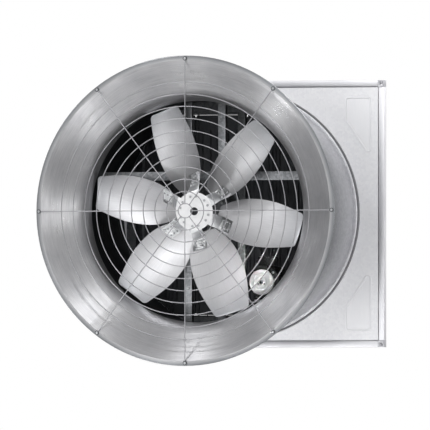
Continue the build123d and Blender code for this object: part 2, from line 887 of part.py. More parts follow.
def post(centre_x, y_low, y_high, inside):
    """An upright box tube that ends on the duct's wall."""
    reach = bell_mouth_radius + cut_overrun
    outer = block(centre_x - post_width / 2, centre_x + post_width / 2, y_low, y_high, -reach, reach)
    hollow = block(
        centre_x - post_width / 2 + post_wall, centre_x + post_width / 2 - post_wall,
        y_low + post_wall, y_high - post_wall, -reach - cut_overrun, reach + cut_overrun,
    )
    return (outer - hollow) & inside


def make_posts():
    """The two bearing posts, the motor's rear post and the upper cross beam."""
    inside = bell_inside()
    left = post(fan_axis_x - post_spread, post_front_y, post_rear_y, inside)
    right = post(fan_axis_x + post_spread, post_front_y, post_rear_y, inside)
    rear = post(fan_axis_x + post_spread, motor_post_y, motor_post_y + post_depth, inside)
    beam_low = upper_beam_height - upper_beam_width / 2
    beam_high = upper_beam_height + upper_beam_width / 2
    reach = throat_radius + cut_overrun
    beam = block(
        fan_axis_x - reach, fan_axis_x + reach, post_front_y - upper_beam_depth, post_front_y,
        beam_low, beam_high,
    )
    channel = block(
        fan_axis_x - reach - cut_overrun, fan_axis_x + reach + cut_overrun,
        post_front_y - upper_beam_depth + post_wall, post_front_y + cut_overrun,
        beam_low + post_wall, beam_high - post_wall,
    )
    return {
        "bearing_post_left": left,
        "bearing_post_right": right,
        "motor_post": rear,
        "upper_beam": (beam - channel) & inside,
    }


def bridge(y_low, y_high):
    """A plate across the two posts that carries one bearing."""
    half = post_spread + post_width / 2
    plate = block(-half, half, y_low, y_high, -bridge_half_height, bridge_half_height)
    return on_fan_axis(plate - rod_along_y(
        bearing_outer_radius, y_low - cut_overrun, y_high + cut_overrun))


def housing(face_y, step):
    """A flanged bearing housing that stands out from its bridge."""
    half = housing_base_size / 2
    base_end = face_y + step * housing_base_thickness
    nose_end = face_y + step * housing_length
    base = block(-half, half, min(face_y, base_end), max(face_y, base_end), -half, half)
    nose = rod_along_y(housing_boss_radius, min(face_y, nose_end), max(face_y, nose_end))
    low = min(face_y, nose_end) - cut_overrun
    high = max(face_y, nose_end) + cut_overrun
    return on_fan_axis(base + nose - rod_along_y(bearing_outer_radius + running_fit, low, high))


def make_bearings():
    """Bridges and bearing housings in front of and behind the posts."""
    return {
        "bearing_bridge_front": bridge(bridge_front_y, post_front_y),
        "bearing_bridge_rear": bridge(post_rear_y, bridge_rear_y),
        "bearing_housing_front": housing(bridge_front_y, -1),
        "bearing_housing_rear": housing(bridge_rear_y, 1),
    }


def make_frame_bolts():
    """Bolt heads that hold the bridges, housings, beam and shelf to the posts."""
    head = extrude(Plane.XZ * RegularPolygon(frame_head_radius, 6), frame_head_height)
    flipped = Rot(180, 0, 0) * head
    heads = []
    for side in (-1, 1):
        for level in (-1, 1):
            x = fan_axis_x + side * post_spread
            z = level * bridge_bolt_spread
            heads.append(Pos(x, bridge_front_y, z) * head)
            heads.append(Pos(x, bridge_rear_y, z) * flipped)
            x = fan_axis_x + side * housing_bolt_spread
            z = level * housing_bolt_spread
            heads.append(Pos(x, bridge_front_y - housing_base_thickness, z) * head)
            heads.append(Pos(x, bridge_rear_y + housing_base_thickness, z) * flipped)
        x = fan_axis_x + side * post_spread
        heads.append(Pos(x, post_front_y - upper_beam_depth, upper_beam_height) * head)
        heads.append(Pos(x, post_front_y, motor_axis_z - motor_shaft_height / 3) * head)
    return {"frame_bolts": group(heads)}


def pulley(radius, bore, boss_radius, boss_length):
    """A pulley round the Y axis with one belt groove, a web and a boss."""
    half = pulley_width / 2
    rim = tube_along_y(radius, radius - pulley_rim, -half, half)
    groove = belt_width / 2 + seat_gap
    rim = rim - tube_along_y(radius + cut_overrun, radius - belt_thickness, -groove, groove)
    web = rod_along_y(radius - pulley_rim + seat_gap, -pulley_web / 2, pulley_web / 2)
    boss = rod_along_y(boss_radius, -boss_length / 2, boss_length / 2)
    return rim + web + boss - rod_along_y(bore, -boss_length, boss_length)


def make_pulleys():
    """The large fan pulley with round windows and the small motor pulley."""
    fan = pulley(fan_pulley_radius, shaft_radius, fan_pulley_boss_radius, fan_pulley_boss_length)
    circle = (fan_pulley_boss_radius + fan_pulley_radius - pulley_rim) / 2
    fan = fan - ring_of_holes(
        fan_pulley_window_radius, circle, fan_pulley_window_count, 90.0, -pulley_web, pulley_web)
    motor = pulley(
        motor_pulley_radius, motor_shaft_radius, motor_pulley_boss_radius, motor_pulley_boss_length)
    at_motor = Pos(fan_axis_x + motor_axis_x, belt_y, motor_axis_z)
    return {
        "fan_pulley": Pos(fan_axis_x, belt_y, 0) * fan,
        "motor_pulley": at_motor * motor,
    }


def make_belt():
    """The drive belt round both pulleys, clear of their grooves."""
    def loop(fan_radius, motor_radius):
        pair = Circle(fan_radius) + Pos(motor_axis_x, motor_axis_z) * Circle(motor_radius)
        return make_hull(pair.edges())

    fan_seat = fan_pulley_radius - belt_thickness + seat_gap
    motor_seat = motor_pulley_radius - belt_thickness + seat_gap
    outside = loop(fan_seat + belt_thickness, motor_seat + belt_thickness)
    band = outside - loop(fan_seat, motor_seat)
    strip = extrude(Plane.XZ * band, belt_width)
    return {"drive_belt": Pos(fan_axis_x, belt_y + belt_width / 2, 0) * strip}


# Stations along the motor, behind its pulley
motor_face_y = belt_y + motor_pulley_boss_length / 2 + motor_gap
motor_front_y = motor_face_y + motor_nose_length
motor_body_y = motor_front_y + motor_shield_thickness
motor_body_end_y = motor_body_y + motor_body_length
motor_rear_y = motor_body_end_y + motor_shield_thickness


def at_motor(shape):
    """Move a shape drawn round the Y axis to the motor's axis."""
    return Pos(fan_axis_x + motor_axis_x, 0, motor_axis_z) * shape


def motor_foot_starts():
    """Where each foot of the motor starts along Y."""
    return (
        motor_body_y + motor_foot_inset,
        motor_body_end_y - motor_foot_inset - motor_foot_length,
    )


def motor_shell():
    """The finned motor body with its two feet."""
    outline = Circle(motor_core_radius)
    for i in range(motor_fin_count):
        fin = Pos(motor_core_radius, 0) * Rectangle(
            2 * (motor_fin_radius - motor_core_radius), motor_fin_thickness)
        outline = outline + Rot(0, 0, 360.0 * (i + 0.5) / motor_fin_count) * fin
    outline = outline - Circle(motor_bore_radius)
    body = Pos(0, motor_body_end_y, 0) * extrude(Plane.XZ * outline, motor_body_length)
    foot_top = motor_foot_thickness - motor_shaft_height
    for start in motor_foot_starts():
        end = start + motor_foot_length
        sole = block(
            -motor_foot_half_width, motor_foot_half_width, start, end,
            -motor_shaft_height, foot_top,
        )
        web = block(
            -motor_foot_half_width * 2 / 3, motor_foot_half_width * 2 / 3, start, end,
            foot_top - motor_foot_thickness / 2, -motor_core_radius + motor_foot_thickness,
        )
        body = body + sole + (web - rod_along_y(motor_bore_radius, start, end))
    return body


def make_motor():
    """The motor: shell, end shields, terminal box, rotor shaft, cooling fan and cover."""
    shell = motor_shell()
    front = rod_along_y(motor_shield_radius, motor_front_y, motor_body_y)
    front = front + rod_along_y(motor_nose_radius, motor_face_y, motor_front_y)
    rear = rod_along_y(motor_shield_radius, motor_body_end_y, motor_rear_y)
    bore = motor_shaft_radius + running_fit
    shields = []
    for shield in (front, rear):
        shields.append(at_motor(shield - rod_along_y(
            bore, motor_face_y - cut_overrun, motor_rear_y + cut_overrun)))
    shaft_start = belt_y - motor_pulley_boss_length / 2 - motor_shaft_nose
    fan_start = motor_rear_y + motor_gap
    fan_end = fan_start + cooling_fan_length
    shaft = rod_along_y(motor_shaft_radius, shaft_start, fan_end)
    rotor = rod_along_y(
        motor_rotor_radius, motor_body_y + motor_gap, motor_body_end_y - motor_gap)
    cooling = rod_along_y(motor_pulley_boss_radius, fan_start, fan_end)
    for i in range(cooling_fan_blade_count):
        paddle = block(
            motor_shaft_radius + cooling_fan_blade_thickness, cooling_fan_radius,
            fan_start, fan_end,
            -cooling_fan_blade_thickness / 2, cooling_fan_blade_thickness / 2,
        )
        cooling = cooling + turned(paddle, 360.0 * i / cooling_fan_blade_count)
    cooling = cooling - rod_along_y(
        motor_shaft_radius, fan_start - cut_overrun, fan_end + cut_overrun)
    cover_end = motor_rear_y + cover_length
    cover = rod_along_y(cover_radius, motor_body_end_y, cover_end)
    cover = cover - rod_along_y(
        cover_radius - cover_sheet, motor_body_end_y - cut_overrun, cover_end - cover_sheet)
    slot = block(
        cover_slot_inner, cover_slot_outer, cover_end - 2 * cover_sheet, cover_end + cut_overrun,
        -cover_slot_width / 2, cover_slot_width / 2,
    )
    for i in range(cover_slot_count):
        cover = cover - turned(slot, 360.0 * (i + 0.5) / cover_slot_count)
    return {
        "motor_shell": at_motor(shell),
        "motor_end_shields": group(shields),
        "motor_rotor_shaft": at_motor(shaft + rotor),
        "motor_cooling_fan": at_motor(cooling),
        "motor_fan_cover": at_motor(cover),
        "motor_terminal_box": at_motor(terminal_box()),
    }


def terminal_box():
    """The terminal box on the motor's top, with its neck and an empty cable gland."""
    middle_y = (motor_body_y + motor_body_end_y) / 2
    box_low = motor_fin_radius + seat_gap
    box_high = box_low + terminal_box_height
    box = block(
        -terminal_box_width / 2, terminal_box_width / 2,
        middle_y - terminal_box_length / 2, middle_y + terminal_box_length / 2,
        box_low, box_high,
    )
    gland_z = (box_low + box_high) / 2
    side = -terminal_box_width / 2
    gland = Pos(side - gland_length / 2, middle_y, gland_z) * Rot(0, 90, 0) * Cylinder(
        gland_radius, gland_length)
    nut = Pos(side, middle_y, gland_z) * Rot(0, -90, 0) * extrude(
        RegularPolygon(gland_nut_radius, 6), gland_nut_length)
    return box + gland + nut


def make_motor_mount():
    """The shelf on the posts, the slide rails that tension the belt, and their bolts."""
    rail_low = motor_axis_z - motor_shaft_height - slide_rail_height
    shelf_low = rail_low - shelf_sheet
    face_x = fan_axis_x + post_spread + post_width / 2
    right = fan_axis_x + shelf_right_edge
    rear = motor_post_y + post_depth
    plate = block(face_x, right, motor_front_y, rear, shelf_low, rail_low)
    flange = block(
        face_x, face_x + shelf_sheet, post_front_y, rear, shelf_low, shelf_low + shelf_flange_height,
    )
    rails = []
    bolts = []
    middle_x = fan_axis_x + motor_axis_x
    for start in motor_foot_starts():
        middle_y = start + motor_foot_length / 2
        body = block(
            middle_x - slide_rail_half_length, middle_x + slide_rail_half_length,
            middle_y - slide_rail_width / 2, middle_y + slide_rail_width / 2,
            rail_low, rail_low + slide_rail_height,
        )
        slot = block(
            middle_x - slide_rail_half_length + slide_slot_width,
            middle_x + slide_rail_half_length - slide_slot_width,
            middle_y - slide_slot_width / 2, middle_y + slide_slot_width / 2,
            rail_low + slide_rail_height / 2, rail_low + slide_rail_height + cut_overrun,
        )
        rails.append(body - slot)
        sole_top = motor_axis_z - motor_shaft_height + motor_foot_thickness
        for side in (-1, 1):
            head = extrude(RegularPolygon(frame_head_radius, 6), frame_head_height)
            bolts.append(Pos(middle_x + side * motor_bolt_spread, middle_y, sole_top) * head)
    return {
        "motor_shelf": plate + flange,
        "motor_slide_rails": group(rails),
        "motor_bolts": group(bolts),
    }


# Stations across the shutter
shutter_half_width = slat_count * slat_pitch / 2 + shutter_side_gap
slat_half_height = shutter_half_height - slat_end_gap


def slat_pivots():
    """Where each slat's pin stands along X."""
    first = fan_axis_x - slat_count * slat_pitch / 2 + slat_gap / 2 + slat_pivot_inset
    return [first + slat_pitch * i for i in range(slat_count)]


def make_shutter_frame():
    """The shutter's box in the wall opening, its end lips, and the holes for the slat pins."""
    flange_x = panel_width / 2 - shutter_flange_margin
    flange_z = panel_height / 2 - shutter_flange_margin
    wide = shutter_half_width + shutter_sheet
    tall = shutter_half_height + shutter_sheet
    flange = block(-flange_x, flange_x, fin_rear_y, 0, -flange_z, flange_z)
    box = block(fan_axis_x - wide, fan_axis_x + wide, fin_rear_y, shutter_depth, -tall, tall)
    left_wall = fan_axis_x - shutter_half_width
    right_wall = fan_axis_x + shutter_half_width
    hollow = block(
        left_wall, right_wall, fin_rear_y - cut_overrun, shutter_depth + cut_overrun,
        -shutter_half_height, shutter_half_height,
    )
    frame = flange + box - hollow
    seal_y = slat_plane_y + slat_sheet / 2 + slat_seal_gap
    frame = frame + block(
        right_wall - stop_right_width, right_wall, seal_y, seal_y + slat_sheet,
        -shutter_half_height, shutter_half_height,
    )
    frame = frame + block(
        left_wall, left_wall + stop_left_width,
        seal_y - stop_front_gap - slat_sheet, seal_y - stop_front_gap,
        -shutter_half_height, shutter_half_height,
    )
    lip_y = slat_plane_y - end_lip_depth / 2
    lip = block(
        left_wall + stop_left_width, right_wall - stop_right_width, lip_y, lip_y + end_lip_depth,
        slat_half_height + end_lip_gap, shutter_half_height,
    )
    for x in slat_pivots():
        hole = rod_along_z(
            slat_pin_radius + running_fit, -tall - cut_overrun, tall + cut_overrun, x, slat_plane_y)
        frame = frame - hole
        lip = lip - hole
    lips = group([lip, mirror(lip, Plane.XY)])
    return {"shutter_frame": frame, "shutter_end_lips": lips}


def slat():
    """One upright slat: a folded edge, a stepped edge that laps the next slat, and its pins."""
    left = -slat_pivot_inset
    right = slat_pitch - slat_gap - slat_pivot_inset
    half = slat_sheet / 2
    sheet = block(left, right, -half, half, -slat_half_height, slat_half_height)
    fold = block(
        right - slat_sheet, right, -half - slat_fold, half, -slat_half_height, slat_half_height)
    lap_half_height = slat_half_height - slat_seal_end_gap
    lap_front = half + slat_seal_gap
    lap_rear = lap_front + slat_sheet
    step = block(left, left + slat_sheet, half, lap_rear, -lap_half_height, lap_half_height)
    lap = block(
        left - slat_seal_reach, left + slat_sheet, lap_front, lap_rear,
        -lap_half_height, lap_half_height,
    )
    reach = shutter_half_height + shutter_sheet
    pin = rod_along_z(slat_pin_radius, -reach, reach)
    tab = block(
        tie_arm - tie_tab_width / 2, tie_arm + tie_tab_width / 2,
        -tie_offset - tie_tab_margin, half, -slat_half_height, slat_sheet - slat_half_height,
    )
    tie_pin = rod_along_z(
        tie_pin_radius, -slat_half_height - tie_pin_length, slat_sheet - slat_half_height,
        tie_arm, -tie_offset,
    )
    return sheet + fold + step + lap + pin + tab + tie_pin


def make_slats():
    """The row of shutter slats and the tie bar that links them."""
    nodes = {}
    one = slat()
    pivots = slat_pivots()
    for i, x in enumerate(pivots):
        nodes[f"shutter_slat_{i + 1}"] = Pos(x, slat_plane_y, 0) * one
    bar_y = slat_plane_y - tie_offset
    bar_top = -slat_half_height - tie_bar_gap
    bar = block(
        pivots[0] + tie_arm - tie_bar_overhang, pivots[-1] + tie_arm + tie_bar_overhang,
        bar_y - tie_bar_width / 2, bar_y + tie_bar_width / 2,
        bar_top - tie_bar_thickness, bar_top,
    )
    for x in pivots:
        bar = bar - rod_along_z(
            tie_pin_radius + running_fit, bar_top - tie_bar_thickness - cut_overrun,
            bar_top + cut_overrun, x + tie_arm, bar_y)
    nodes["shutter_tie_bar"] = bar
    return nodes


makers = (
    make_rails, make_corner_castings, make_front_plate, make_inlet_bell, make_throat,
    make_outlet_cone, make_cone_straps, make_guard, make_flange_bolts, make_blade_set, make_hub,
    make_shaft, make_posts, make_bearings, make_frame_bolts, make_pulleys, make_belt, make_motor,
    make_motor_mount, make_shutter_frame, make_slats,
)

for maker in makers:
    for node, shape in maker().items():
        shape.label = node
        export_step(shape, os.path.join("parts", f"{node}.step"))
        print(node, len(shape.solids()), round(shape.volume))
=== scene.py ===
"""A belt-driven poultry house fan, seen from the outlet side of its cone.

Lengths are in metres and angles in degrees, unless a name says otherwise. X runs to the
right, Y away from the viewer through the wall, and Z up.
"""

import logging
import math
from dataclasses import dataclass
from enum import Enum

import bpy
from mathutils import Matrix, Vector


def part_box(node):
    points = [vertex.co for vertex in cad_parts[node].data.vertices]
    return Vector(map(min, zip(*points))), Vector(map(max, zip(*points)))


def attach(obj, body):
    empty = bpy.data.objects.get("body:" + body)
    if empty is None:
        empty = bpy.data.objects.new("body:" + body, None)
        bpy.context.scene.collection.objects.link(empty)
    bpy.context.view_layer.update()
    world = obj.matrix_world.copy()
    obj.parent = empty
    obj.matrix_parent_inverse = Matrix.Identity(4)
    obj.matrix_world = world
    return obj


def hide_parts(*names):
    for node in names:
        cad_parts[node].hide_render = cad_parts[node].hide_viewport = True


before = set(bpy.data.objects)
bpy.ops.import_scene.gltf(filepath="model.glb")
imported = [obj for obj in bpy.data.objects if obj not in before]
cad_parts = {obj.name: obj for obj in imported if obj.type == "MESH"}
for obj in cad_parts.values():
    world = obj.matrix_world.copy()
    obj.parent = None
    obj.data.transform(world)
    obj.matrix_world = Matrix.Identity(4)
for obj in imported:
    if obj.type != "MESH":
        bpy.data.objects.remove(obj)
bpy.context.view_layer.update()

LOG = logging.getLogger("fan")
FAN_AXIS = Vector((-0.06, 0.0, 0.0))
MOTOR_AXIS = Vector((0.248, 0.0, -0.4))
AXLE = Vector((0.0, 1.0, 0.0))
# Y of the cone's lip, in whose plane the guard's wires lie.
RIM = -1.16
# How near two points are merged, in a new piece and in a CAD node's loose triangles.
MERGE = 0.000005
CAD_MERGE = 0.00001
# Noise keeps mostly between these two values.
NOISE_RANGE = {"From Min": 0.3, "From Max": 0.7}
# Clouds of tone on metal are about 170 mm across, and patches of dust on paint about 45 mm.
CLOUD_SCALE = 6.0
PATCH_SCALE = 22.0

Piece = bpy.types.Object
Socket = bpy.types.NodeSocket
Tree = bpy.types.NodeTree


class Lay(Enum):
    """The way that a metal's fine marks run."""

    SPUN = "spun"
    RADIAL = "radial"
    UPRIGHT = "upright"
    ACROSS = "across"
    AXIAL = "axial"


def linear(colour: str) -> tuple[float, float, float, float]:
    """Turn an sRGB hex colour to linear light.

    Args:
        colour: Six hex digits after a hash sign.

    Returns:
        Red, green, blue and an alpha of 1.
    """
    channels = [int(colour[i:i + 2], 16) / 255 for i in (1, 3, 5)]
    light = [c / 12.92 if c <= 0.04045 else ((c + 0.055) / 1.055) ** 2.4 for c in channels]
    return (*light, 1.0)


def add_node(
    tree: Tree, kind: str, inputs: dict[str | int, object] | None = None, **settings: object,
) -> bpy.types.Node:
    """Add a node with its settings, values and links.

    Args:
        tree: The node tree.
        kind: The node's type, without its ShaderNode prefix.
        inputs: Values or output sockets, by input name or number.
        settings: The node's own properties.

    Returns:
        The new node.
    """
    node = tree.nodes.new(f"ShaderNode{kind}")
    for name, value in settings.items():
        setattr(node, name, value)
    for name, value in (inputs or {}).items():
        if isinstance(value, Socket):
            tree.links.new(value, node.inputs[name])
        else:
            node.inputs[name].default_value = value
    return node


def from_axis(tree: Tree) -> Socket:
    """Measure each point of a piece from the fan axis.

    Args:
        tree: The material's node tree.

    Returns:
        The way to the point from the one on the axis at Y zero.
    """
    spot = add_node(tree, "TexCoord").outputs["Object"]
    return add_node(
        tree, "VectorMath", {0: spot, 1: tuple(FAN_AXIS)}, operation="SUBTRACT").outputs[0]


def flat_from_axis(tree: Tree) -> Socket:
    """Measure each point of a piece straight out from the fan axis.

    Args:
        tree: The material's node tree.

    Returns:
        The way to the point, without its part along the axle.
    """
    return add_node(
        tree, "VectorMath", {0: from_axis(tree), 1: (1, 0, 1)}, operation="MULTIPLY").outputs[0]


@dataclass(frozen=True)
class MetalFinish:
    """Bare metal with grain that follows how it was rolled, brushed or turned.

    Attributes:
        name: The material's name.
        light: The tone of the grain's light marks.
        dark: The tone of its dark marks.
        roughness: The roughness in the middle of its range.
        lay: How the marks run.
        grain_mm: How wide the marks are.
        stretch: How many times longer than wide they are.
        spread: How far the roughness goes up and down with the grain.
        anisotropy: How far the marks draw a highlight out.
        spangle_mm: The size of a galvanised sheet's crystal flakes, or 0 for none.
        bump_mm: How deep the marks are.
        painted_inner_shade: The dark colour painted as shade on faces that look towards the fan
            axis, or none.
        painted_inner_shade_roughness: The roughness of those shaded faces.
        back_painted_light: The lighter colour painted as light on faces that look towards the wall,
            or none.
        painted_shade: The colour of a painted shade that grows with the distance from the axis, or
            none.
        painted_shade_from: The distance at which the painted shade starts.
        painted_shade_to: The distance at which the painted shade is full.
        cloud_share: How much of the tone is broad clouds.
        flake_share: How much of it is flakes, where there are any.
        toward_axis: Below this a face counts as one that looks towards the axis.
        toward_wall: Above this a face counts as one that looks towards the wall.
    """

    name: str
    light: str
    dark: str
    roughness: float
    lay: Lay
    grain_mm: float
    stretch: float = 30.0
    spread: float = 0.08
    anisotropy: float = 0.0
    spangle_mm: float = 0.0
    bump_mm: float = 0.02
    painted_inner_shade: str = ""
    painted_inner_shade_roughness: float = 0.5
    back_painted_light: str = ""
    painted_shade: str = ""
    painted_shade_from: float = 0.0
    painted_shade_to: float = 1.0
    cloud_share: float = 0.45
    flake_share: float = 0.35
    toward_axis: float = -0.05
    toward_wall: float = 0.1

    def place(self, tree: Tree) -> tuple[Socket, Socket]:
        """Lay the grain out on the object.

        Args:
            tree: The material's node tree.

        Returns:
            The stretched grain coordinates, and the direction that draws highlights out.
        """
        arm = from_axis(tree)
        if self.lay in (Lay.SPUN, Lay.RADIAL):
            parts = add_node(tree, "SeparateXYZ", {0: arm})
            flat = add_node(tree, "CombineXYZ", {0: parts.outputs[0], 2: parts.outputs[2]})
            away = add_node(tree, "VectorMath", {0: flat.outputs[0]}, operation="LENGTH")
            turn = add_node(
                tree, "Math", {0: parts.outputs[2], 1: parts.outputs[0]}, operation="ARCTAN2")
            tight, loose = 1.0, 1.0 / self.stretch
            if self.lay is Lay.RADIAL:
                tight, loose = loose, tight
            out = add_node(tree, "Math", {0: away.outputs["Value"], 1: tight}, operation="MULTIPLY")
            deep = add_node(tree, "Math", {0: parts.outputs[1], 1: tight}, operation="MULTIPLY")
            bend = add_node(tree, "Math", {0: turn.outputs[0], 1: loose}, operation="MULTIPLY")
            grain = add_node(
                tree, "CombineXYZ", {0: out.outputs[0], 1: deep.outputs[0], 2: bend.outputs[0]})
            around = add_node(
                tree, "VectorMath", {0: tuple(AXLE), 1: flat.outputs[0]}, operation="CROSS_PRODUCT")
            run = flat if self.lay is Lay.SPUN else around
            across = add_node(tree, "VectorMath", {0: run.outputs[0]}, operation="NORMALIZE")
            return grain.outputs[0], across.outputs[0]
        shares = {
            Lay.UPRIGHT: (1.0, 1.0, 1.0 / self.stretch),
            Lay.ACROSS: (1.0 / self.stretch, 1.0, 1.0),
            Lay.AXIAL: (1.0, 1.0 / self.stretch, 1.0),
        }[self.lay]
        way = {Lay.UPRIGHT: (1, 0, 0), Lay.ACROSS: (0, 0, 1), Lay.AXIAL: (1, 0, 1)}[self.lay]
        grain = add_node(tree, "VectorMath", {0: arm, 1: shares}, operation="MULTIPLY")
        across = add_node(tree, "CombineXYZ", {0: way[0], 1: way[1], 2: way[2]})
        return grain.outputs[0], across.outputs[0]

    def inward(self, tree: Tree) -> Socket:
        """Find the faces that look towards the fan axis.

        Args:
            tree: The material's node tree.

        Returns:
            1 on the duct's inner faces and 0 elsewhere.
        """
        normal = add_node(tree, "NewGeometry").outputs["Normal"]
        facing = add_node(
            tree, "VectorMath", {0: flat_from_axis(tree), 1: normal}, operation="DOT_PRODUCT")
        return add_node(
            tree, "Math", {0: facing.outputs["Value"], 1: self.toward_axis},
            operation="LESS_THAN").outputs[0]

    def add_painted_shade(self, tree: Tree, colour: Socket) -> Socket:
        """Let the painted shade colour grow with the distance from the axis.

        Args:
            tree: The material's node tree.
            colour: The colour without the painted shade.

        Returns:
            The colour with its painted shade.
        """
        away = add_node(tree, "VectorMath", {0: flat_from_axis(tree)}, operation="LENGTH")
        share = add_node(tree, "MapRange", {
            "Value": away.outputs["Value"], "From Min": self.painted_shade_from, "From Max": self.painted_shade_to})
        return add_node(tree, "Mix", {
            0: share.outputs[0], 6: colour, 7: linear(self.painted_shade)}, data_type="RGBA").outputs[2]

    def build(self) -> bpy.types.Material:
        """Make the material.

        Returns:
            The finished material.
        """
        material = bpy.data.materials.new(self.name)
        material.use_nodes = True
        tree = material.node_tree
        shader = tree.nodes["Principled BSDF"]
        grain, across = self.place(tree)
        fine = add_node(tree, "TexNoise", {
            "Vector": grain, "Scale": 1000 / self.grain_mm, "Detail": 4.0, "Roughness": 0.6})
        cloudy = add_node(tree, "TexNoise", {
            "Vector": add_node(tree, "TexCoord").outputs["Object"], "Scale": CLOUD_SCALE,
            "Detail": 3.0})
        tone = add_node(
            tree, "Mix", {0: self.cloud_share, 2: fine.outputs[0], 3: cloudy.outputs[0]})
        value = tone.outputs[0]
        if self.spangle_mm > 0:
            flakes = add_node(tree, "TexVoronoi", {
                "Vector": add_node(tree, "TexCoord").outputs["Object"],
                "Scale": 1000 / self.spangle_mm})
            flake = add_node(tree, "SeparateColor", {0: flakes.outputs["Color"]})
            value = add_node(
                tree, "Mix", {0: self.flake_share, 2: value, 3: flake.outputs[0]}).outputs[0]
        share = add_node(tree, "MapRange", {"Value": value, **NOISE_RANGE})
        colour = add_node(tree, "Mix", {
            0: share.outputs[0], 6: linear(self.dark), 7: linear(self.light)}, data_type="RGBA")
        rough = add_node(tree, "MapRange", {
            "Value": value, **NOISE_RANGE,
            "To Min": self.roughness + self.spread, "To Max": self.roughness - self.spread})
        colour_out, rough_out = colour.outputs[2], rough.outputs[0]
        # A painted shade grows with the distance from the axis.
        if self.painted_shade:
            colour_out = self.add_painted_shade(tree, colour_out)
        # Faces that look towards the wall take a lighter colour as painted light.
        if self.back_painted_light:
            looks = add_node(
                tree, "SeparateXYZ", {0: add_node(tree, "NewGeometry").outputs["Normal"]})
            outer = add_node(
                tree, "Math", {0: looks.outputs[1], 1: self.toward_wall},
                operation="GREATER_THAN")
            colour_out = add_node(tree, "Mix", {
                0: outer.outputs[0], 6: colour_out, 7: linear(self.back_painted_light)},
                data_type="RGBA").outputs[2]
        # Faces that look towards the axis take a dark colour as painted shade.
        if self.painted_inner_shade:
            inside = self.inward(tree)
            colour_out = add_node(tree, "Mix", {
                0: inside, 6: colour_out, 7: linear(self.painted_inner_shade)}, data_type="RGBA").outputs[2]
            rough_out = add_node(tree, "Mix", {
                0: inside, 2: rough_out, 3: self.painted_inner_shade_roughness}).outputs[0]
        bump = add_node(tree, "Bump", {
            "Height": fine.outputs[0], "Strength": 0.6, "Distance": self.bump_mm / 1000})
        tree.links.new(colour_out, shader.inputs["Base Color"])
        tree.links.new(rough_out, shader.inputs["Roughness"])
        tree.links.new(bump.outputs[0], shader.inputs["Normal"])
        shader.inputs["Metallic"].default_value = 1.0
        if self.anisotropy:
            shader.inputs["Anisotropic"].default_value = self.anisotropy
            tree.links.new(across, shader.inputs["Tangent"])
        return material


@dataclass(frozen=True)
class CoatFinish:
    """Paint, rubber or plastic: an even colour with a fine pebbled skin and settled dust.

    Attributes:
        name: The material's name.
        colour: Its clean colour.
        dust: The colour of the dust on it.
        roughness: The roughness in the middle of its range.
        pebble_mm: The size of the skin's pebbles.
        bump_mm: How deep they are.
        dust_share: How thickly dust lies on faces that look up.
        coat: The weight of a clear gloss over it.
        under_share: What faces that look down have of that dust.
        smoother: How far the roughness goes down with the patches of dust.
        rougher: How far it goes up.
    """

    name: str
    colour: str
    dust: str
    roughness: float
    pebble_mm: float
    bump_mm: float = 0.05
    dust_share: float = 0.25
    coat: float = 0.0
    under_share: float = 0.3
    smoother: float = 0.06
    rougher: float = 0.08

    def build(self) -> bpy.types.Material:
        """Make the material.

        Returns:
            The finished material.
        """
        material = bpy.data.materials.new(self.name)
        material.use_nodes = True
        tree = material.node_tree
        shader = tree.nodes["Principled BSDF"]
        spot = add_node(tree, "TexCoord").outputs["Object"]
        pebble = add_node(tree, "TexNoise", {
            "Vector": spot, "Scale": 1000 / self.pebble_mm, "Detail": 2.0})
        patch = add_node(tree, "TexNoise", {"Vector": spot, "Scale": PATCH_SCALE, "Detail": 5.0})
        upward = add_node(tree, "SeparateXYZ", {0: add_node(tree, "NewGeometry").outputs["Normal"]})
        lie = add_node(tree, "MapRange", {
            "Value": upward.outputs[2], "From Min": -0.2, "From Max": 1.0,
            "To Min": self.dust_share * self.under_share, "To Max": self.dust_share})
        dusty = add_node(
            tree, "Math", {0: lie.outputs[0], 1: patch.outputs[0]}, operation="MULTIPLY")
        colour = add_node(tree, "Mix", {
            0: dusty.outputs[0], 6: linear(self.colour), 7: linear(self.dust)}, data_type="RGBA")
        rough = add_node(tree, "MapRange", {
            "Value": patch.outputs[0], **NOISE_RANGE,
            "To Min": self.roughness - self.smoother, "To Max": self.roughness + self.rougher})
        bump = add_node(tree, "Bump", {
            "Height": pebble.outputs[0], "Strength": 0.5, "Distance": self.bump_mm / 1000})
        tree.links.new(colour.outputs[2], shader.inputs["Base Color"])
        tree.links.new(rough.outputs[0], shader.inputs["Roughness"])
        tree.links.new(bump.outputs[0], shader.inputs["Normal"])
        shader.inputs["Coat Weight"].default_value = self.coat
        return material


Finish = MetalFinish | CoatFinish


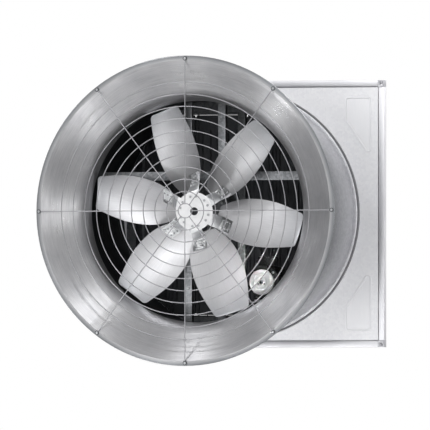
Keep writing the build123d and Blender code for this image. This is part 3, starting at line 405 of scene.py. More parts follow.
class Finishes:
    """The finishes that the fan's pieces share, each built once.

    Each metal says its light and dark tones, roughness, lay and grain, and each coat its
    colour, dust, roughness and pebble. Real brush and draw marks are a tenth or two of a
    millimetre wide and too fine to show, so the grain is drawn many times as coarse.
    """

    # Hot-dip galvanised sheet: pale satin grey with faint crystal flakes.
    SHEET = MetalFinish(
        "galvanised_sheet", "#eeeef0", "#e7e7ea", 0.5, Lay.UPRIGHT, 6.0, spread=0.03,
        spangle_mm=14.0)
    # The sheet's pressed ribs, a little burnished by the die, and painted a little lighter than the
    # sheet as a painted highlight.
    PRESSED = MetalFinish(
        "burnished_rib_painted_highlight", "#f2f2f4", "#eaeaed", 0.46, Lay.UPRIGHT, 3.0, spread=0.02)
    # Die-cast zinc corner pieces, dull and faintly mottled.
    CORNER = MetalFinish(
        "die_cast_zinc_corner", "#c8c8cc", "#acacb0", 0.42, Lay.UPRIGHT, 2.0, stretch=4.0)
    # The same sheet rolled into ducts. Its inner faces are painted dark as painted shade, and the
    # bell darkens toward the throat as painted shade cast by the cone.
    DUCT = MetalFinish(
        "galvanised_duct_painted_shade_inside", "#ededf0", "#dcdce0", 0.42, Lay.SPUN, 5.0,
        spread=0.03, spangle_mm=14.0, painted_inner_shade="#37383a", painted_inner_shade_roughness=0.45, painted_shade="#606265",
        painted_shade_from=0.712, painted_shade_to=0.655)
    # Spun stainless cone: long circular marks that draw the light out into bright wedges. Its faces
    # toward the wall are painted near white as painted light, and its lip darkens toward the rim as
    # painted shade.
    CONE = MetalFinish(
        "spun_stainless_cone", "#cececf", "#9d9da1", 0.33, Lay.SPUN, 2.6, stretch=60.0,
        anisotropy=0.75, bump_mm=0.03, back_painted_light="#f4f5f6", painted_shade="#85878a", painted_shade_from=0.852,
        painted_shade_to=0.876)
    # Extruded rails with a fine satin draw along their length.
    RAIL_UP = MetalFinish(
        "satin_extruded_rail_upright", "#dcdcdf", "#cbcbcf", 0.42, Lay.UPRIGHT, 1.2, anisotropy=0.2)
    RAIL_ACROSS = MetalFinish(
        "satin_extruded_rail_across", "#dcdcdf", "#cbcbcf", 0.42, Lay.ACROSS, 1.2, anisotropy=0.2)
    # Zinc-plated steel wire, drawn smooth and a little dull.
    WIRE = MetalFinish(
        "zinc_plated_wire", "#b6b6b9", "#8c8c90", 0.38, Lay.SPUN, 1.0, stretch=20.0)
    # Zinc-plated fasteners, with a soft mottled shine.
    PLATED = MetalFinish(
        "zinc_plated_fastener", "#c6c7c9", "#9b9da0", 0.34, Lay.AXIAL, 1.5, stretch=2.0)
    # Mirror-rolled stainless blades: soft cloudy reflections, with painted shade that darkens them
    # toward the tips.
    BLADE = MetalFinish(
        "rolled_stainless_blade", "#d0d0d2", "#b3b3b6", 0.36, Lay.RADIAL, 3.0, stretch=25.0,
        spread=0.06, anisotropy=0.35, bump_mm=0.01, painted_shade="#94969a", painted_shade_from=0.45,
        painted_shade_to=0.68)
    # Bright pressed steel arms, with a pale satin sheen.
    ARM = MetalFinish(
        "bright_pressed_arm", "#f1f2f3", "#dcdee0", 0.42, Lay.RADIAL, 2.0, stretch=15.0)
    # Bright zinc-plated hub disc, pale and soft, with faint turning marks.
    HUB = MetalFinish(
        "bright_zinc_hub_disc", "#f2f2f3", "#e2e2e4", 0.4, Lay.SPUN, 1.5, stretch=20.0)
    # Cast boss behind the disc, painted near black as painted shade so that the bore reads dark.
    BOSS = MetalFinish(
        "cast_boss_painted_shade", "#4a4b4e", "#2c2d2f", 0.5, Lay.SPUN, 2.0, stretch=8.0)
    # Turned and ground shaft steel, with fine rings that catch the light.
    TURNED = MetalFinish(
        "ground_shaft_steel", "#c2c3c5", "#98999c", 0.25, Lay.SPUN, 0.7, stretch=40.0,
        anisotropy=0.5)
    # Machined iron pulleys, dull where the belt doesn't polish them.
    PULLEY = MetalFinish(
        "machined_iron_pulley", "#a9abad", "#7d7f82", 0.36, Lay.SPUN, 1.0, stretch=40.0,
        anisotropy=0.5)
    # Motor pulley and its bush under bright silver paint, with an even soft shine.
    MOTOR_PULLEY = CoatFinish(
        "silver_painted_pulley", "#f0f1f2", "#b4b1ab", 0.4, 1.2, bump_mm=0.04, dust_share=0.12)
    # Oiled steel of the fan shaft, painted dark as painted shade in the bore, with a narrow shine.
    SHAFT = MetalFinish(
        "shaft_steel_painted_shade", "#5a5b5e", "#3c3d40", 0.32, Lay.SPUN, 0.7, stretch=40.0)
    # Black-oxide screws and collars, near black with a dull shine.
    BLACKED = MetalFinish(
        "black_oxide_screw", "#4c4d50", "#333436", 0.4, Lay.AXIAL, 1.0, stretch=2.0)
    # Rolled shutter sheet, satin, with a faint upright draw and dust from the house.
    SLAT = MetalFinish(
        "satin_shutter_sheet", "#66686b", "#4c4e51", 0.42, Lay.UPRIGHT, 2.0)
    # Galvanised posts and beam inside the duct, dulled by dust.
    FRAME = MetalFinish(
        "dusty_galvanised_post", "#a2a4a7", "#85878a", 0.5, Lay.UPRIGHT, 6.0, spangle_mm=12.0)
    # Sand-cast iron under thin grey paint, which leaves the sand's pebbles to see.
    CASTING = CoatFinish("painted_cast_iron", "#6c7074", "#a59f95", 0.5, 2.2, bump_mm=0.25)
    # Grey motor enamel, slightly glossy.
    ENAMEL = CoatFinish(
        "grey_motor_enamel", "#2a2d30", "#5c5852", 0.45, 1.6, dust_share=0.12, coat=0.1)
    # Sun-greyed rubber lip of the collar gasket, matt and chalky.
    GASKET = CoatFinish("greyed_gasket_rubber", "#76767a", "#94928e", 0.62, 0.8, bump_mm=0.08)
    # Zinc wire eyes, painted darker than the drawn wires as painted shade.
    EYE = MetalFinish(
        "zinc_eye_painted_shade", "#6b6d70", "#4a4c4f", 0.42, Lay.AXIAL, 1.0, stretch=2.0)
    # Shutter frame in the wall opening, dulled by house dust.
    SHUTTER = MetalFinish(
        "dusty_shutter_frame", "#8d8f92", "#74767a", 0.5, Lay.UPRIGHT, 6.0, spangle_mm=12.0)
    # Wrapped rubber belt, black and matt.
    RUBBER = CoatFinish("black_rubber", "#17181a", "#4a4744", 0.72, 0.8, bump_mm=0.08)
    # Moulded nylon, black with a soft shine.
    NYLON = CoatFinish("black_nylon", "#1c1d1f", "#4a4744", 0.42, 1.0)

    def __init__(self) -> None:
        """Start with nothing built."""
        self.made: dict[str, bpy.types.Material] = {}

    def get(self, finish: Finish) -> bpy.types.Material:
        """Return a finish's material, built the first time it is asked for."""
        if finish.name not in self.made:
            self.made[finish.name] = finish.build()
        return self.made[finish.name]


FINISHES = Finishes()


def dress(piece: Piece, finish: Finish) -> None:
    """Give a piece its finish.

    Args:
        piece: The object.
        finish: What it is made of.
    """
    material = FINISHES.get(finish)
    if not piece.material_slots:
        piece.data.materials.append(material)
    for slot in piece.material_slots:
        slot.material = material


@dataclass
class Studio:
    """Camera, floor, lamps and background.

    The aim is how far right of and above the origin the camera looks. The levels and the
    ground's share say how bright the reflected room is ahead, at the sides and below.
    """

    azimuth: float = 16.0
    elevation: float = -1.1
    distance: float = 110.0
    view_width: float = 2.4691
    aim_right: float = -0.2069
    aim_up: float = -0.0034
    sensor_width: float = 36.0
    reach: float = 300.0
    floor_height: float = -1.9
    floor_size: float = 14.0
    heart_depth: float = -0.7
    pulley_depth: float = -0.66
    front_level: float = 1.1
    side_level: float = 0.3
    ground_share: float = 0.85

    def camera(self) -> None:
        """Stand the camera far off with a very long lens."""
        turn, rise = math.radians(self.azimuth), math.radians(self.elevation)
        back = Vector((
            math.sin(turn) * math.cos(rise), -math.cos(turn) * math.cos(rise), math.sin(rise)))
        right = Vector((math.cos(turn), math.sin(turn), 0.0))
        up = back.cross(right)
        aim = right * self.aim_right + up * self.aim_up
        bpy.ops.object.camera_add(location=aim + back * self.distance)
        camera = bpy.context.object
        camera.rotation_mode = "QUATERNION"
        camera.rotation_quaternion = (-back).to_track_quat("-Z", "Y")
        camera.data.sensor_width = self.sensor_width
        camera.data.lens = self.sensor_width * self.distance / self.view_width
        camera.data.clip_end = self.reach
        bpy.context.scene.camera = camera

    def floor(self) -> None:
        """Lay a plain pale floor under the fan."""
        bpy.ops.mesh.primitive_plane_add(
            size=self.floor_size, location=(0.0, 0.0, self.floor_height))
        floor = bpy.context.object
        floor.name = "floor"
        material = bpy.data.materials.new("pale_floor")
        material.use_nodes = True
        shader = material.node_tree.nodes["Principled BSDF"]
        shader.inputs["Base Color"].default_value = linear("#ebebeb")
        shader.inputs["Roughness"].default_value = 0.9
        floor.data.materials.append(material)

    def background(self) -> None:
        """Show white behind the fan, and a soft room in front of it in reflections."""
        world = bpy.data.worlds.new("studio")
        bpy.context.scene.world = world
        world.use_nodes = True
        tree = world.node_tree
        tree.nodes.clear()
        way = add_node(tree, "SeparateXYZ", {0: add_node(tree, "TexCoord").outputs["Generated"]})
        front = add_node(tree, "MapRange", {
            "Value": way.outputs[1], "From Min": -0.95, "From Max": 0.0,
            "To Min": self.front_level, "To Max": self.side_level})
        height = add_node(tree, "MapRange", {
            "Value": way.outputs[2], "From Min": -0.6, "From Max": 0.5,
            "To Min": self.ground_share, "To Max": 1.0})
        level = add_node(
            tree, "Math", {0: front.outputs[0], 1: height.outputs[0]}, operation="MULTIPLY")
        soft = add_node(tree, "Background", {"Color": (1, 1, 1, 1), "Strength": level.outputs[0]})
        white = add_node(tree, "Background", {"Color": (1, 1, 1, 1), "Strength": 1.0})
        path = add_node(tree, "LightPath").outputs
        bent = add_node(tree, "Math", {
            0: path["Is Glossy Ray"], 1: path["Is Transmission Ray"]}, operation="MAXIMUM")
        behind = add_node(tree, "MapRange", {
            "Value": way.outputs[1], "From Min": 0.05, "From Max": 0.3})
        mirrored = add_node(
            tree, "Math", {0: bent.outputs[0], 1: behind.outputs[0]}, operation="MULTIPLY")
        seen = add_node(tree, "Math", {
            0: path["Is Camera Ray"], 1: mirrored.outputs[0]}, operation="MAXIMUM")
        both = add_node(tree, "MixShader", {
            0: seen.outputs[0], 1: soft.outputs[0], 2: white.outputs[0]})
        add_node(tree, "OutputWorld", {0: both.outputs[0]})

    def lamp(
        self, name: str, place: Vector, aim: Vector, size: float, power: float, spread: float,
    ) -> None:
        """Hang a square soft lamp.

        Args:
            name: The lamp's name.
            place: Where it hangs.
            aim: The point it looks at.
            size: Its side in metres.
            power: Its power in watts.
            spread: How wide its light opens, in degrees.
        """
        bpy.ops.object.light_add(type="AREA", location=place)
        lamp = bpy.context.object
        lamp.name = name
        lamp.data.size = size
        lamp.data.energy = power
        lamp.data.spread = math.radians(spread)
        lamp.rotation_mode = "QUATERNION"
        lamp.rotation_quaternion = (aim - place).to_track_quat("-Z", "Y")

    def build(self) -> None:
        """Set up the whole studio."""
        bpy.context.scene.view_settings.view_transform = "Standard"
        self.camera()
        self.floor()
        self.background()
        heart = Vector((FAN_AXIS.x, self.heart_depth, FAN_AXIS.z))
        pulley = Vector((MOTOR_AXIS.x, self.pulley_depth, MOTOR_AXIS.z))
        for name, aim, way, away, size, power, spread in (
            ("right_high", heart, (0.30, -0.75, 0.59), 4.6, 0.7, 32.0, 180.0),
            ("right_low", heart, (0.30, -0.80, -0.50), 3.3, 0.5, 8.0, 180.0),
            ("right", heart, (0.86, -0.50, 0.02), 4.6, 0.9, 12.0, 180.0),
            ("top", heart, (-0.34, -0.60, 0.72), 4.6, 0.7, 30.0, 180.0),
            ("low", heart, (-0.30, -0.72, -0.50), 3.3, 0.5, 11.0, 180.0),
            ("below", heart, (0.02, -0.80, -0.52), 3.3, 0.5, 7.0, 180.0),
            ("left_high", heart, (-0.80, -0.35, 0.48), 4.6, 0.7, 15.0, 180.0),
            ("left_low", heart, (-0.72, -0.35, -0.45), 3.4, 0.5, 9.0, 180.0),
            ("left", heart, (-0.72, -0.66, -0.24), 4.6, 0.7, 10.0, 180.0),
            ("rear", heart, (0.33, 0.80, 0.55), 5.8, 2.4, 30.0, 60.0),
            ("pulley", pulley, (0.36, -0.92, -0.10), 4.0, 0.3, 0.3, 8.0),
        ):
            self.lamp(name, aim + Vector(way).normalized() * away, aim, size, power, spread)


def clear_selection() -> None:
    """Leave edit mode and select nothing."""
    if bpy.context.object and bpy.context.object.mode != "OBJECT":
        bpy.ops.object.mode_set(mode="OBJECT")
    bpy.ops.object.select_all(action="DESELECT")


def pick(piece: Piece) -> None:
    """Select one piece alone and make it the active one."""
    clear_selection()
    piece.select_set(True)
    bpy.context.view_layer.objects.active = piece


def mend(piece: Piece, smooth: float = 40.0) -> Piece:
    """Merge doubled points, turn the faces outward and smooth the gentle edges.

    Args:
        piece: The piece.
        smooth: Degrees up to which an edge is smooth.

    Returns:
        The same piece.
    """
    pick(piece)
    bpy.ops.object.mode_set(mode="EDIT")
    bpy.ops.mesh.select_all(action="SELECT")
    bpy.ops.mesh.remove_doubles(threshold=MERGE)
    bpy.ops.mesh.normals_make_consistent(inside=False)
    bpy.ops.object.mode_set(mode="OBJECT")
    bpy.ops.object.shade_smooth_by_angle(angle=math.radians(smooth))
    return piece


def turned_piece(
    name: str, profile: list[tuple[float, float]], centre: Vector, segments: int,
) -> Piece:
    """Turn a closed section round an axis parallel to the fan's.

    Args:
        name: The piece's name.
        profile: Radius and Y of each corner, in order round the section.
        centre: A point on the axis.
        segments: Steps round the axis.

    Returns:
        The turned piece.
    """
    clear_selection()
    start = profile[0]
    bpy.ops.mesh.primitive_circle_add(
        vertices=segments, radius=start[0], location=(centre.x, start[1], centre.z),
        rotation=(math.pi / 2, 0.0, 0.0))
    piece = bpy.context.object
    piece.name = name
    bpy.ops.object.transform_apply(location=True, rotation=True, scale=True)
    bpy.ops.object.mode_set(mode="EDIT")
    bpy.ops.mesh.select_all(action="SELECT")
    previous = start
    for point in [*profile[1:], start]:
        bpy.ops.mesh.extrude_edges_move(
            TRANSFORM_OT_translate={"value": (0.0, point[1] - previous[1], 0.0)})
        grow = point[0] / previous[0]
        bpy.ops.transform.resize(
            value=(grow, 1.0, grow), center_override=(centre.x, point[1], centre.z))
        previous = point
    return mend(piece, smooth=35.0)


@dataclass(frozen=True)
class Hexagon:
    """A bolt or screw head: a chamfered hexagon on a round washer face.

    The sizes are the radius over the corners, the height with the washer face and the
    washer face's radius. The shares are those of the height that the washer face and the
    chamfer take.
    """

    across: float
    height: float
    washer: float
    washer_share: float = 0.16
    chamfer_share: float = 0.1

    def build(self, name: str) -> Piece:
        """Make the head, standing on Z zero along +Z.

        Args:
            name: The piece's name.

        Returns:
            The head.
        """
        clear_selection()
        foot = self.height * self.washer_share
        bpy.ops.mesh.primitive_cylinder_add(
            vertices=6, radius=self.across, depth=self.height - foot,
            location=(0, 0, (self.height + foot) / 2))
        piece = bpy.context.object
        piece.name = name
        bpy.ops.object.transform_apply(location=True, rotation=True, scale=True)
        bpy.ops.object.mode_set(mode="EDIT")
        bpy.ops.mesh.select_all(action="SELECT")
        bpy.ops.mesh.bevel(offset=self.height * self.chamfer_share, segments=2, affect="EDGES")
        bpy.ops.mesh.select_all(action="DESELECT")
        bpy.ops.mesh.primitive_cylinder_add(
            vertices=20, radius=self.washer, depth=foot, location=(0, 0, foot / 2))
        bpy.ops.object.mode_set(mode="OBJECT")
        bpy.ops.object.shade_smooth_by_angle(angle=math.radians(40))
        return piece


def repeat(piece: Piece, places: list[Matrix]) -> Piece:
    """Copy a piece to each place and join the copies into one object.

    Args:
        piece: The piece, modelled at the origin.
        places: Where each copy goes.

    Returns:
        The joined object, which keeps the piece's name.
    """
    clear_selection()
    name = piece.name
    copies = []
    for place in places:
        copy = piece.copy()
        copy.data = piece.data.copy()
        copy.data.transform(place)
        bpy.context.scene.collection.objects.link(copy)
        copies.append(copy)
    bpy.data.objects.remove(piece)
    for copy in copies:
        copy.select_set(True)
    bpy.context.view_layer.objects.active = copies[0]
    bpy.ops.object.join()
    joined = bpy.context.object
    joined.name = name
    return joined


def settle(
    piece: Piece, body: str, finish: Finish, stands_for: tuple[str, ...] = (),
) -> None:
    """Dress a finished piece and hand it to its body.

    Args:
        piece: The finished piece, at the origin with its place in its mesh.
        body: The CAD body that it rides on.
        finish: What it is made of.
        stands_for: CAD nodes that it replaces.
    """
    dress(piece, finish)
    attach(piece, body)
    if stands_for:
        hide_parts(*stands_for)
    LOG.info("piece %s rides on %s", piece.name, body)


def about_axle(angle: float, centre: Vector = FAN_AXIS) -> Matrix:
    """Turn about an axis along Y, anticlockwise as the outlet side sees it.

    Args:
        angle: Degrees.
        centre: A point on the axis.

    Returns:
        The matrix that carries a piece built round the origin to its place.
    """
    return Matrix.Translation(centre) @ Matrix.Rotation(math.radians(-angle), 4, "Y")


def round_edges(piece: Piece, width: float, angle: float = 30.0) -> Piece:
    """Round a piece's edges.

    Args:
        piece: The piece.
        width: How wide the rounding is, in metres.
        angle: Degrees above which an edge is rounded.

    Returns:
        The same piece.
    """
    pick(piece)
    bevel = piece.modifiers.new("rounding", "BEVEL")
    bevel.width = width
    bevel.segments = 2
    bevel.limit_method = "ANGLE"
    bevel.angle_limit = math.radians(angle)
    bpy.ops.object.modifier_apply(modifier=bevel.name)
    bpy.ops.object.shade_smooth_by_angle(angle=math.radians(40))
    return piece


def eased_copy(node: str, body: str, width_mm: float, finish: Finish) -> None:
    """Stand in for a CAD node with a copy whose sharp edges are rounded.

    Args:
        node: The CAD node.
        body: The body that it rides on.
        width_mm: How wide the rounding is.
        finish: What it is made of.
    """
    piece = bpy.data.objects.new(f"{node}_eased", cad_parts[node].data.copy())
    bpy.context.scene.collection.objects.link(piece)
    pick(piece)
    bpy.ops.object.mode_set(mode="EDIT")
    bpy.ops.mesh.select_all(action="SELECT")
    bpy.ops.mesh.remove_doubles(threshold=CAD_MERGE)
    bpy.ops.mesh.dissolve_limited(angle_limit=math.radians(1.0))
    bpy.ops.object.mode_set(mode="OBJECT")
    settle(round_edges(piece, width_mm / 1000, angle=50.0), body, finish, (node,))


def slab(name: str, low: Vector, high: Vector, rounding: float) -> Piece:
    """Make a block with rounded edges between two corners.

    Args:
        name: The piece's name.
        low: Its lowest corner.
        high: Its highest corner.
        rounding: How wide the rounding is, in metres.

    Returns:
        The block.
    """
    clear_selection()
    bpy.ops.mesh.primitive_cube_add(size=1.0, location=(low + high) / 2)
    piece = bpy.context.object
    piece.name = name
    piece.scale = high - low
    bpy.ops.object.transform_apply(location=True, rotation=True, scale=True)
    return round_edges(piece, rounding)


def drawn_line(name: str, points: list[tuple[float, float, float]]) -> Piece:
    """Draw a line of straight edges from point to point and stay in edit mode.

    Args:
        name: The piece's name.
        points: The points, in order.

    Returns:
        The line, selected all over.
    """
    clear_selection()
    bpy.ops.mesh.primitive_plane_add(size=1.0)
    piece = bpy.context.object
    piece.name = name
    bpy.ops.object.mode_set(mode="EDIT")
    bpy.ops.mesh.delete(type="ONLY_FACE")
    bpy.ops.mesh.select_all(action="SELECT")
    bpy.ops.mesh.merge(type="CENTER")
    bpy.ops.transform.translate(value=points[0])
    for last, here in zip(points, points[1:]):
        bpy.ops.mesh.extrude_vertices_move(TRANSFORM_OT_translate={
            "value": tuple(b - a for a, b in zip(last, here))})
    bpy.ops.mesh.select_all(action="SELECT")
    return piece


def rounded_outline(
    corners: list[tuple[float, float]], radii: list[float], grow: float, steps: int = 6,
) -> list[tuple[float, float]]:
    """Round a convex outline's corners and let it grow all round.

    Args:
        corners: X and Z of each corner, in order.
        radii: Each corner's radius.
        grow: How far the outline moves outward.
        steps: Steps round each corner.

    Returns:
        X and Z of each point.
    """
    line = []
    for i, radius in enumerate(radii):
        corner = Vector(corners[i])
        back = (Vector(corners[i - 1]) - corner).normalized()
        ahead = (Vector(corners[(i + 1) % len(corners)]) - corner).normalized()
        half = back.angle(ahead) / 2
        middle = corner + (back + ahead).normalized() * (radius / math.sin(half))
        first = corner + back * (radius / math.tan(half)) - middle
        last = corner + ahead * (radius / math.tan(half)) - middle
        start = math.atan2(first.y, first.x)
        sweep = math.remainder(math.atan2(last.y, last.x) - start, 2 * math.pi)
        for k in range(steps + 1):
            turn = start + sweep * k / steps
            reach = radius + grow
            line.append((middle.x + reach * math.cos(turn), middle.y + reach * math.sin(turn)))
    return line


def solids_of(node: str) -> list[tuple[Vector, Vector]]:
    """Find each separate solid of a CAD node.

    Args:
        node: The CAD node.

    Returns:
        The lowest and highest corners of each solid.
    """
    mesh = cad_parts[node].data
    keys = [tuple(round(c, 5) for c in v.co) for v in mesh.vertices]
    leader = {key: key for key in keys}

    def top(key: tuple[float, ...]) -> tuple[float, ...]:
        """Follow a point to the one that leads its solid."""
        while leader[key] != key:
            leader[key] = leader[leader[key]]
            key = leader[key]
        return key

    for edge in mesh.edges:
        one, other = (top(keys[v]) for v in edge.vertices)
        leader[one] = other
    solids: dict[tuple[float, ...], list[tuple[float, ...]]] = {}
    for key in leader:
        solids.setdefault(top(key), []).append(key)
    return [
        (Vector([min(p[i] for p in points) for i in range(3)]),
         Vector([max(p[i] for p in points) for i in range(3)]))
        for points in solids.values()
    ]


# These turn a piece that is modelled along +Z to the outlet or to the wall.
TO_OUTLET = Matrix.Rotation(math.radians(90), 4, "X")
TO_WALL = Matrix.Rotation(math.radians(-90), 4, "X")


@dataclass
class Panel:
    """The wall panel: rails, corner castings, front plate and gasket."""

    body: str = "housing"
    width: float = 1.612
    height: float = 1.53
    rib_top: float = 0.095
    rib_side: float = 0.084
    rib_tip: float = 0.028
    rib_corner: float = 0.02
    rib_point: float = 0.012
    rib_height: float = 0.0025
    bead_width: float = 0.007
    bead_slope: float = 0.0024
    bead_height: float = 0.0034
    bead_rounding: float = 0.0006
    pad_sheet: float = 0.0003
    gasket_inner: float = 0.6925
    gasket_outer: float = 0.7165
    gasket_ease: float = 0.001
    lip_inner: float = 0.7065
    lip_foot: float = 0.7068
    lip_shoulder: float = 0.709
    lip_shoulder_inset: float = 0.002
    lip_shoulder_rise: float = 0.0035
    lip_rise: float = 0.0042
    rail_rounding_mm: float = 1.2
    casting_rounding_mm: float = 2.0

    def pressed_pads(
        self, name: str, width: float, length: float, straight: float, side: int,
    ) -> None:
        """Press a raised bead with sloping sides over the ribs of one side, at top and bottom.

        Args:
            name: The piece's name.
            width: The rib outline's width.
            length: Its length.
            straight: The length of its inner upright side.
            side: 1 for the right and -1 for the left.
        """
        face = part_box("front_plate")[0][1] + self.rib_height
        top = self.height / 2 - self.rib_top
        outer = self.width / 2 - self.rib_side
        corners = [
            (side * (outer - width), top), (side * outer, top), (side * outer, top - length),
            (side * (outer - self.rib_tip), top - length), (side * (outer - width), top - straight),
        ]
        radii = [self.rib_corner, self.rib_corner, self.rib_point, self.rib_point, self.rib_corner]
        outline = rounded_outline(corners, radii, self.bead_slope)
        pad = drawn_line(name, [(x, face, z) for x, z in outline])
        bpy.ops.mesh.edge_face_add()
        bpy.ops.mesh.extrude_region_move(
            TRANSFORM_OT_translate={"value": (0.0, -self.pad_sheet, 0.0)})
        for inset, rise in (
            (self.bead_slope, -self.bead_height), (self.bead_width, 0.0),
            (self.bead_slope, self.bead_height),
        ):
            bpy.ops.mesh.inset(thickness=inset)
            bpy.ops.transform.translate(value=(0.0, rise, 0.0))
        round_edges(mend(pad), self.bead_rounding, angle=25.0)
        both = repeat(pad, [Matrix.Identity(4), Matrix.Scale(-1, 4, (0, 0, 1))])
        settle(mend(both), self.body, Finishes.PRESSED)

    def gasket(self) -> None:
        """Bulge the gasket's rubber lip out round the bell's edge."""
        (_, front, _), (_, rear, _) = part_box("collar_gasket")
        shoulder = front - self.lip_shoulder_rise
        ring = turned_piece("collar_gasket_lip", [
            (self.gasket_inner, rear), (self.gasket_outer, rear),
            (self.gasket_outer, front - self.gasket_ease),
            (self.gasket_outer - self.lip_shoulder_inset, shoulder),
            ((self.gasket_outer + self.lip_inner) / 2, front - self.lip_rise),
            (self.lip_shoulder, shoulder), (self.lip_foot, front), (self.gasket_inner, front),
        ], FAN_AXIS, segments=160)
        settle(ring, self.body, Finishes.GASKET, ("collar_gasket",))

    def build(self) -> None:
        """Dress the panel and round the edges of its castings."""
        for name, finish in (
            ("rail_left", Finishes.RAIL_UP), ("rail_right", Finishes.RAIL_UP),
            ("rail_top", Finishes.RAIL_ACROSS), ("rail_bottom", Finishes.RAIL_ACROSS),
        ):
            eased_copy(name, self.body, self.rail_rounding_mm, finish)
        eased_copy(
            "corner_castings", self.body, self.casting_rounding_mm, Finishes.CORNER)
        dress(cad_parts["front_plate"], Finishes.SHEET)
        self.pressed_pads("plate_beads_right", width=0.151, length=0.315, straight=0.134, side=1)
        self.pressed_pads("plate_beads_left", width=0.092, length=0.262, straight=0.12, side=-1)
        self.gasket()


@dataclass
class Duct:
    """The inlet bell, throat and outlet cone with their seams and bolts."""

    body: str = "housing"
    throat_radius: float = 0.632
    cone_start: float = -0.898
    bend_radius: float = 0.17
    bend_steps: int = 8
    flare: float = 51.0
    rim: float = RIM
    seam_angle: float = 49.0
    seam_width: float = 0.016
    seam_thickness: float = 0.0008
    edge_circle: float = 0.7018
    edge_wire: float = 0.0036
    edge_depth: float = -0.0368

    def seam_line(self) -> list[tuple[float, float]]:
        """Follow the cone's air side from its throat to its lip.

        Returns:
            Radius and Y of each point.
        """
        centre = self.throat_radius + self.bend_radius
        points = []
        for i in range(self.bend_steps + 1):
            turn = math.radians(self.flare) * i / self.bend_steps
            points.append((
                centre - self.bend_radius * math.cos(turn),
                self.cone_start - self.bend_radius * math.sin(turn)))
        run = (points[-1][1] - self.rim) * math.tan(math.radians(self.flare))
        points.append((points[-1][0] + run, self.rim))
        return points

    def lap_seams(self) -> None:
        """Lay a thin lap over each meeting of two cone panels."""
        lap = drawn_line(
            "cone_lap_seams", [(out, y, -self.seam_width / 2) for out, y in self.seam_line()])
        bpy.ops.mesh.extrude_edges_move(
            TRANSFORM_OT_translate={"value": (0.0, 0.0, self.seam_width)})
        pick(lap)
        wall = lap.modifiers.new("wall", "SOLIDIFY")
        wall.thickness = self.seam_thickness
        wall.offset = 0.0
        bpy.ops.object.modifier_apply(modifier=wall.name)
        bpy.ops.object.shade_smooth_by_angle(angle=math.radians(35))
        joined = repeat(lap, [about_axle(self.seam_angle + 90 * i) for i in range(4)])
        settle(joined, self.body, Finishes.CONE)

    def rolled_edge(self) -> None:
        """Roll a wired edge round the mouth of the bell."""
        clear_selection()
        bpy.ops.mesh.primitive_torus_add(
            major_radius=self.edge_circle, minor_radius=self.edge_wire, major_segments=180,
            minor_segments=14, location=(FAN_AXIS.x, self.edge_depth, 0.0),
            rotation=(math.pi / 2, 0.0, 0.0))
        edge = bpy.context.object
        edge.name = "bell_rolled_edge"
        bpy.ops.object.transform_apply(location=True, rotation=True, scale=True)
        bpy.ops.object.shade_smooth()
        settle(edge, self.body, Finishes.SHEET)

    def build(self) -> None:
        """Dress the ducts and add the lap seams and the rolled edge."""
        for name, finish in (
            ("inlet_bell", Finishes.DUCT), ("throat_ring", Finishes.DUCT),
            ("outlet_cone", Finishes.CONE), ("cone_straps", Finishes.SHEET),
        ):
            dress(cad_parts[name], finish)
        eased_copy("cone_rivets", self.body, 1.2, Finishes.PLATED)
        eased_copy("flange_bolts", self.body, 0.6, Finishes.PLATED)
        self.lap_seams()
        self.rolled_edge()


@dataclass
class Guard:
    """The wire guard with its weld nuggets, wire eyes and screws."""

    body: str = "housing"
    first_ring: float = 0.041
    pitch: float = 0.0691
    rings: int = 12
    lean: float = 53.0
    wire: float = 0.0028
    rim: float = RIM
    nugget_growth: float = 1.25
    nugget_form: tuple[float, float, float] = (1.25, 0.8, 1.0)
    eye_circle: float = 0.86565
    eye_radius: float = 0.0094
    eye_front: float = -1.1652
    eye_wire_share: float = 0.95

    def spokes(self) -> tuple[float, ...]:
        """Return the radial wires' directions."""
        lean = self.lean
        return (0.0, lean, 90.0, 180.0 - lean, 180.0, 180.0 + lean, 270.0, 360.0 - lean)

    def welds(self) -> None:
        """Put a small flattened nugget on every crossing."""
        clear_selection()
        bpy.ops.mesh.primitive_ico_sphere_add(
            subdivisions=2, radius=self.wire * self.nugget_growth)
        nugget = bpy.context.object
        nugget.name = "guard_weld_nuggets"
        bpy.ops.object.mode_set(mode="EDIT")
        bpy.ops.mesh.select_all(action="SELECT")
        bpy.ops.transform.resize(value=self.nugget_form)
        bpy.ops.object.mode_set(mode="OBJECT")
        bpy.ops.object.shade_smooth()
        places = [
            about_axle(angle)
            @ Matrix.Translation((self.first_ring + self.pitch * i, self.rim, 0.0))
            for angle in self.spokes() for i in range(self.rings)
        ]
        settle(repeat(nugget, places), self.body, Finishes.WIRE)

    def eyes(self) -> None:
        """Wind a second turn of wire on each eye at the ends of the spokes."""
        clear_selection()
        bpy.ops.mesh.primitive_torus_add(
            major_radius=self.eye_radius, minor_radius=self.wire * self.eye_wire_share,
            major_segments=40, minor_segments=12)
        eye = bpy.context.object
        eye.name = "guard_eye_turns"
        bpy.ops.object.shade_smooth()
        places = [
            about_axle(angle)
            @ Matrix.Translation((self.eye_circle, self.eye_front, 0.0)) @ TO_OUTLET
            for angle in self.spokes()
        ]
        settle(repeat(eye, places), self.body, Finishes.EYE)

    def build(self) -> None:
        """Dress the guard and add its welds and wire eyes."""
        dress(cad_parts["front_guard"], Finishes.WIRE)
        eased_copy("guard_screws", self.body, 0.7, Finishes.PLATED)
        self.welds()
        self.eyes()


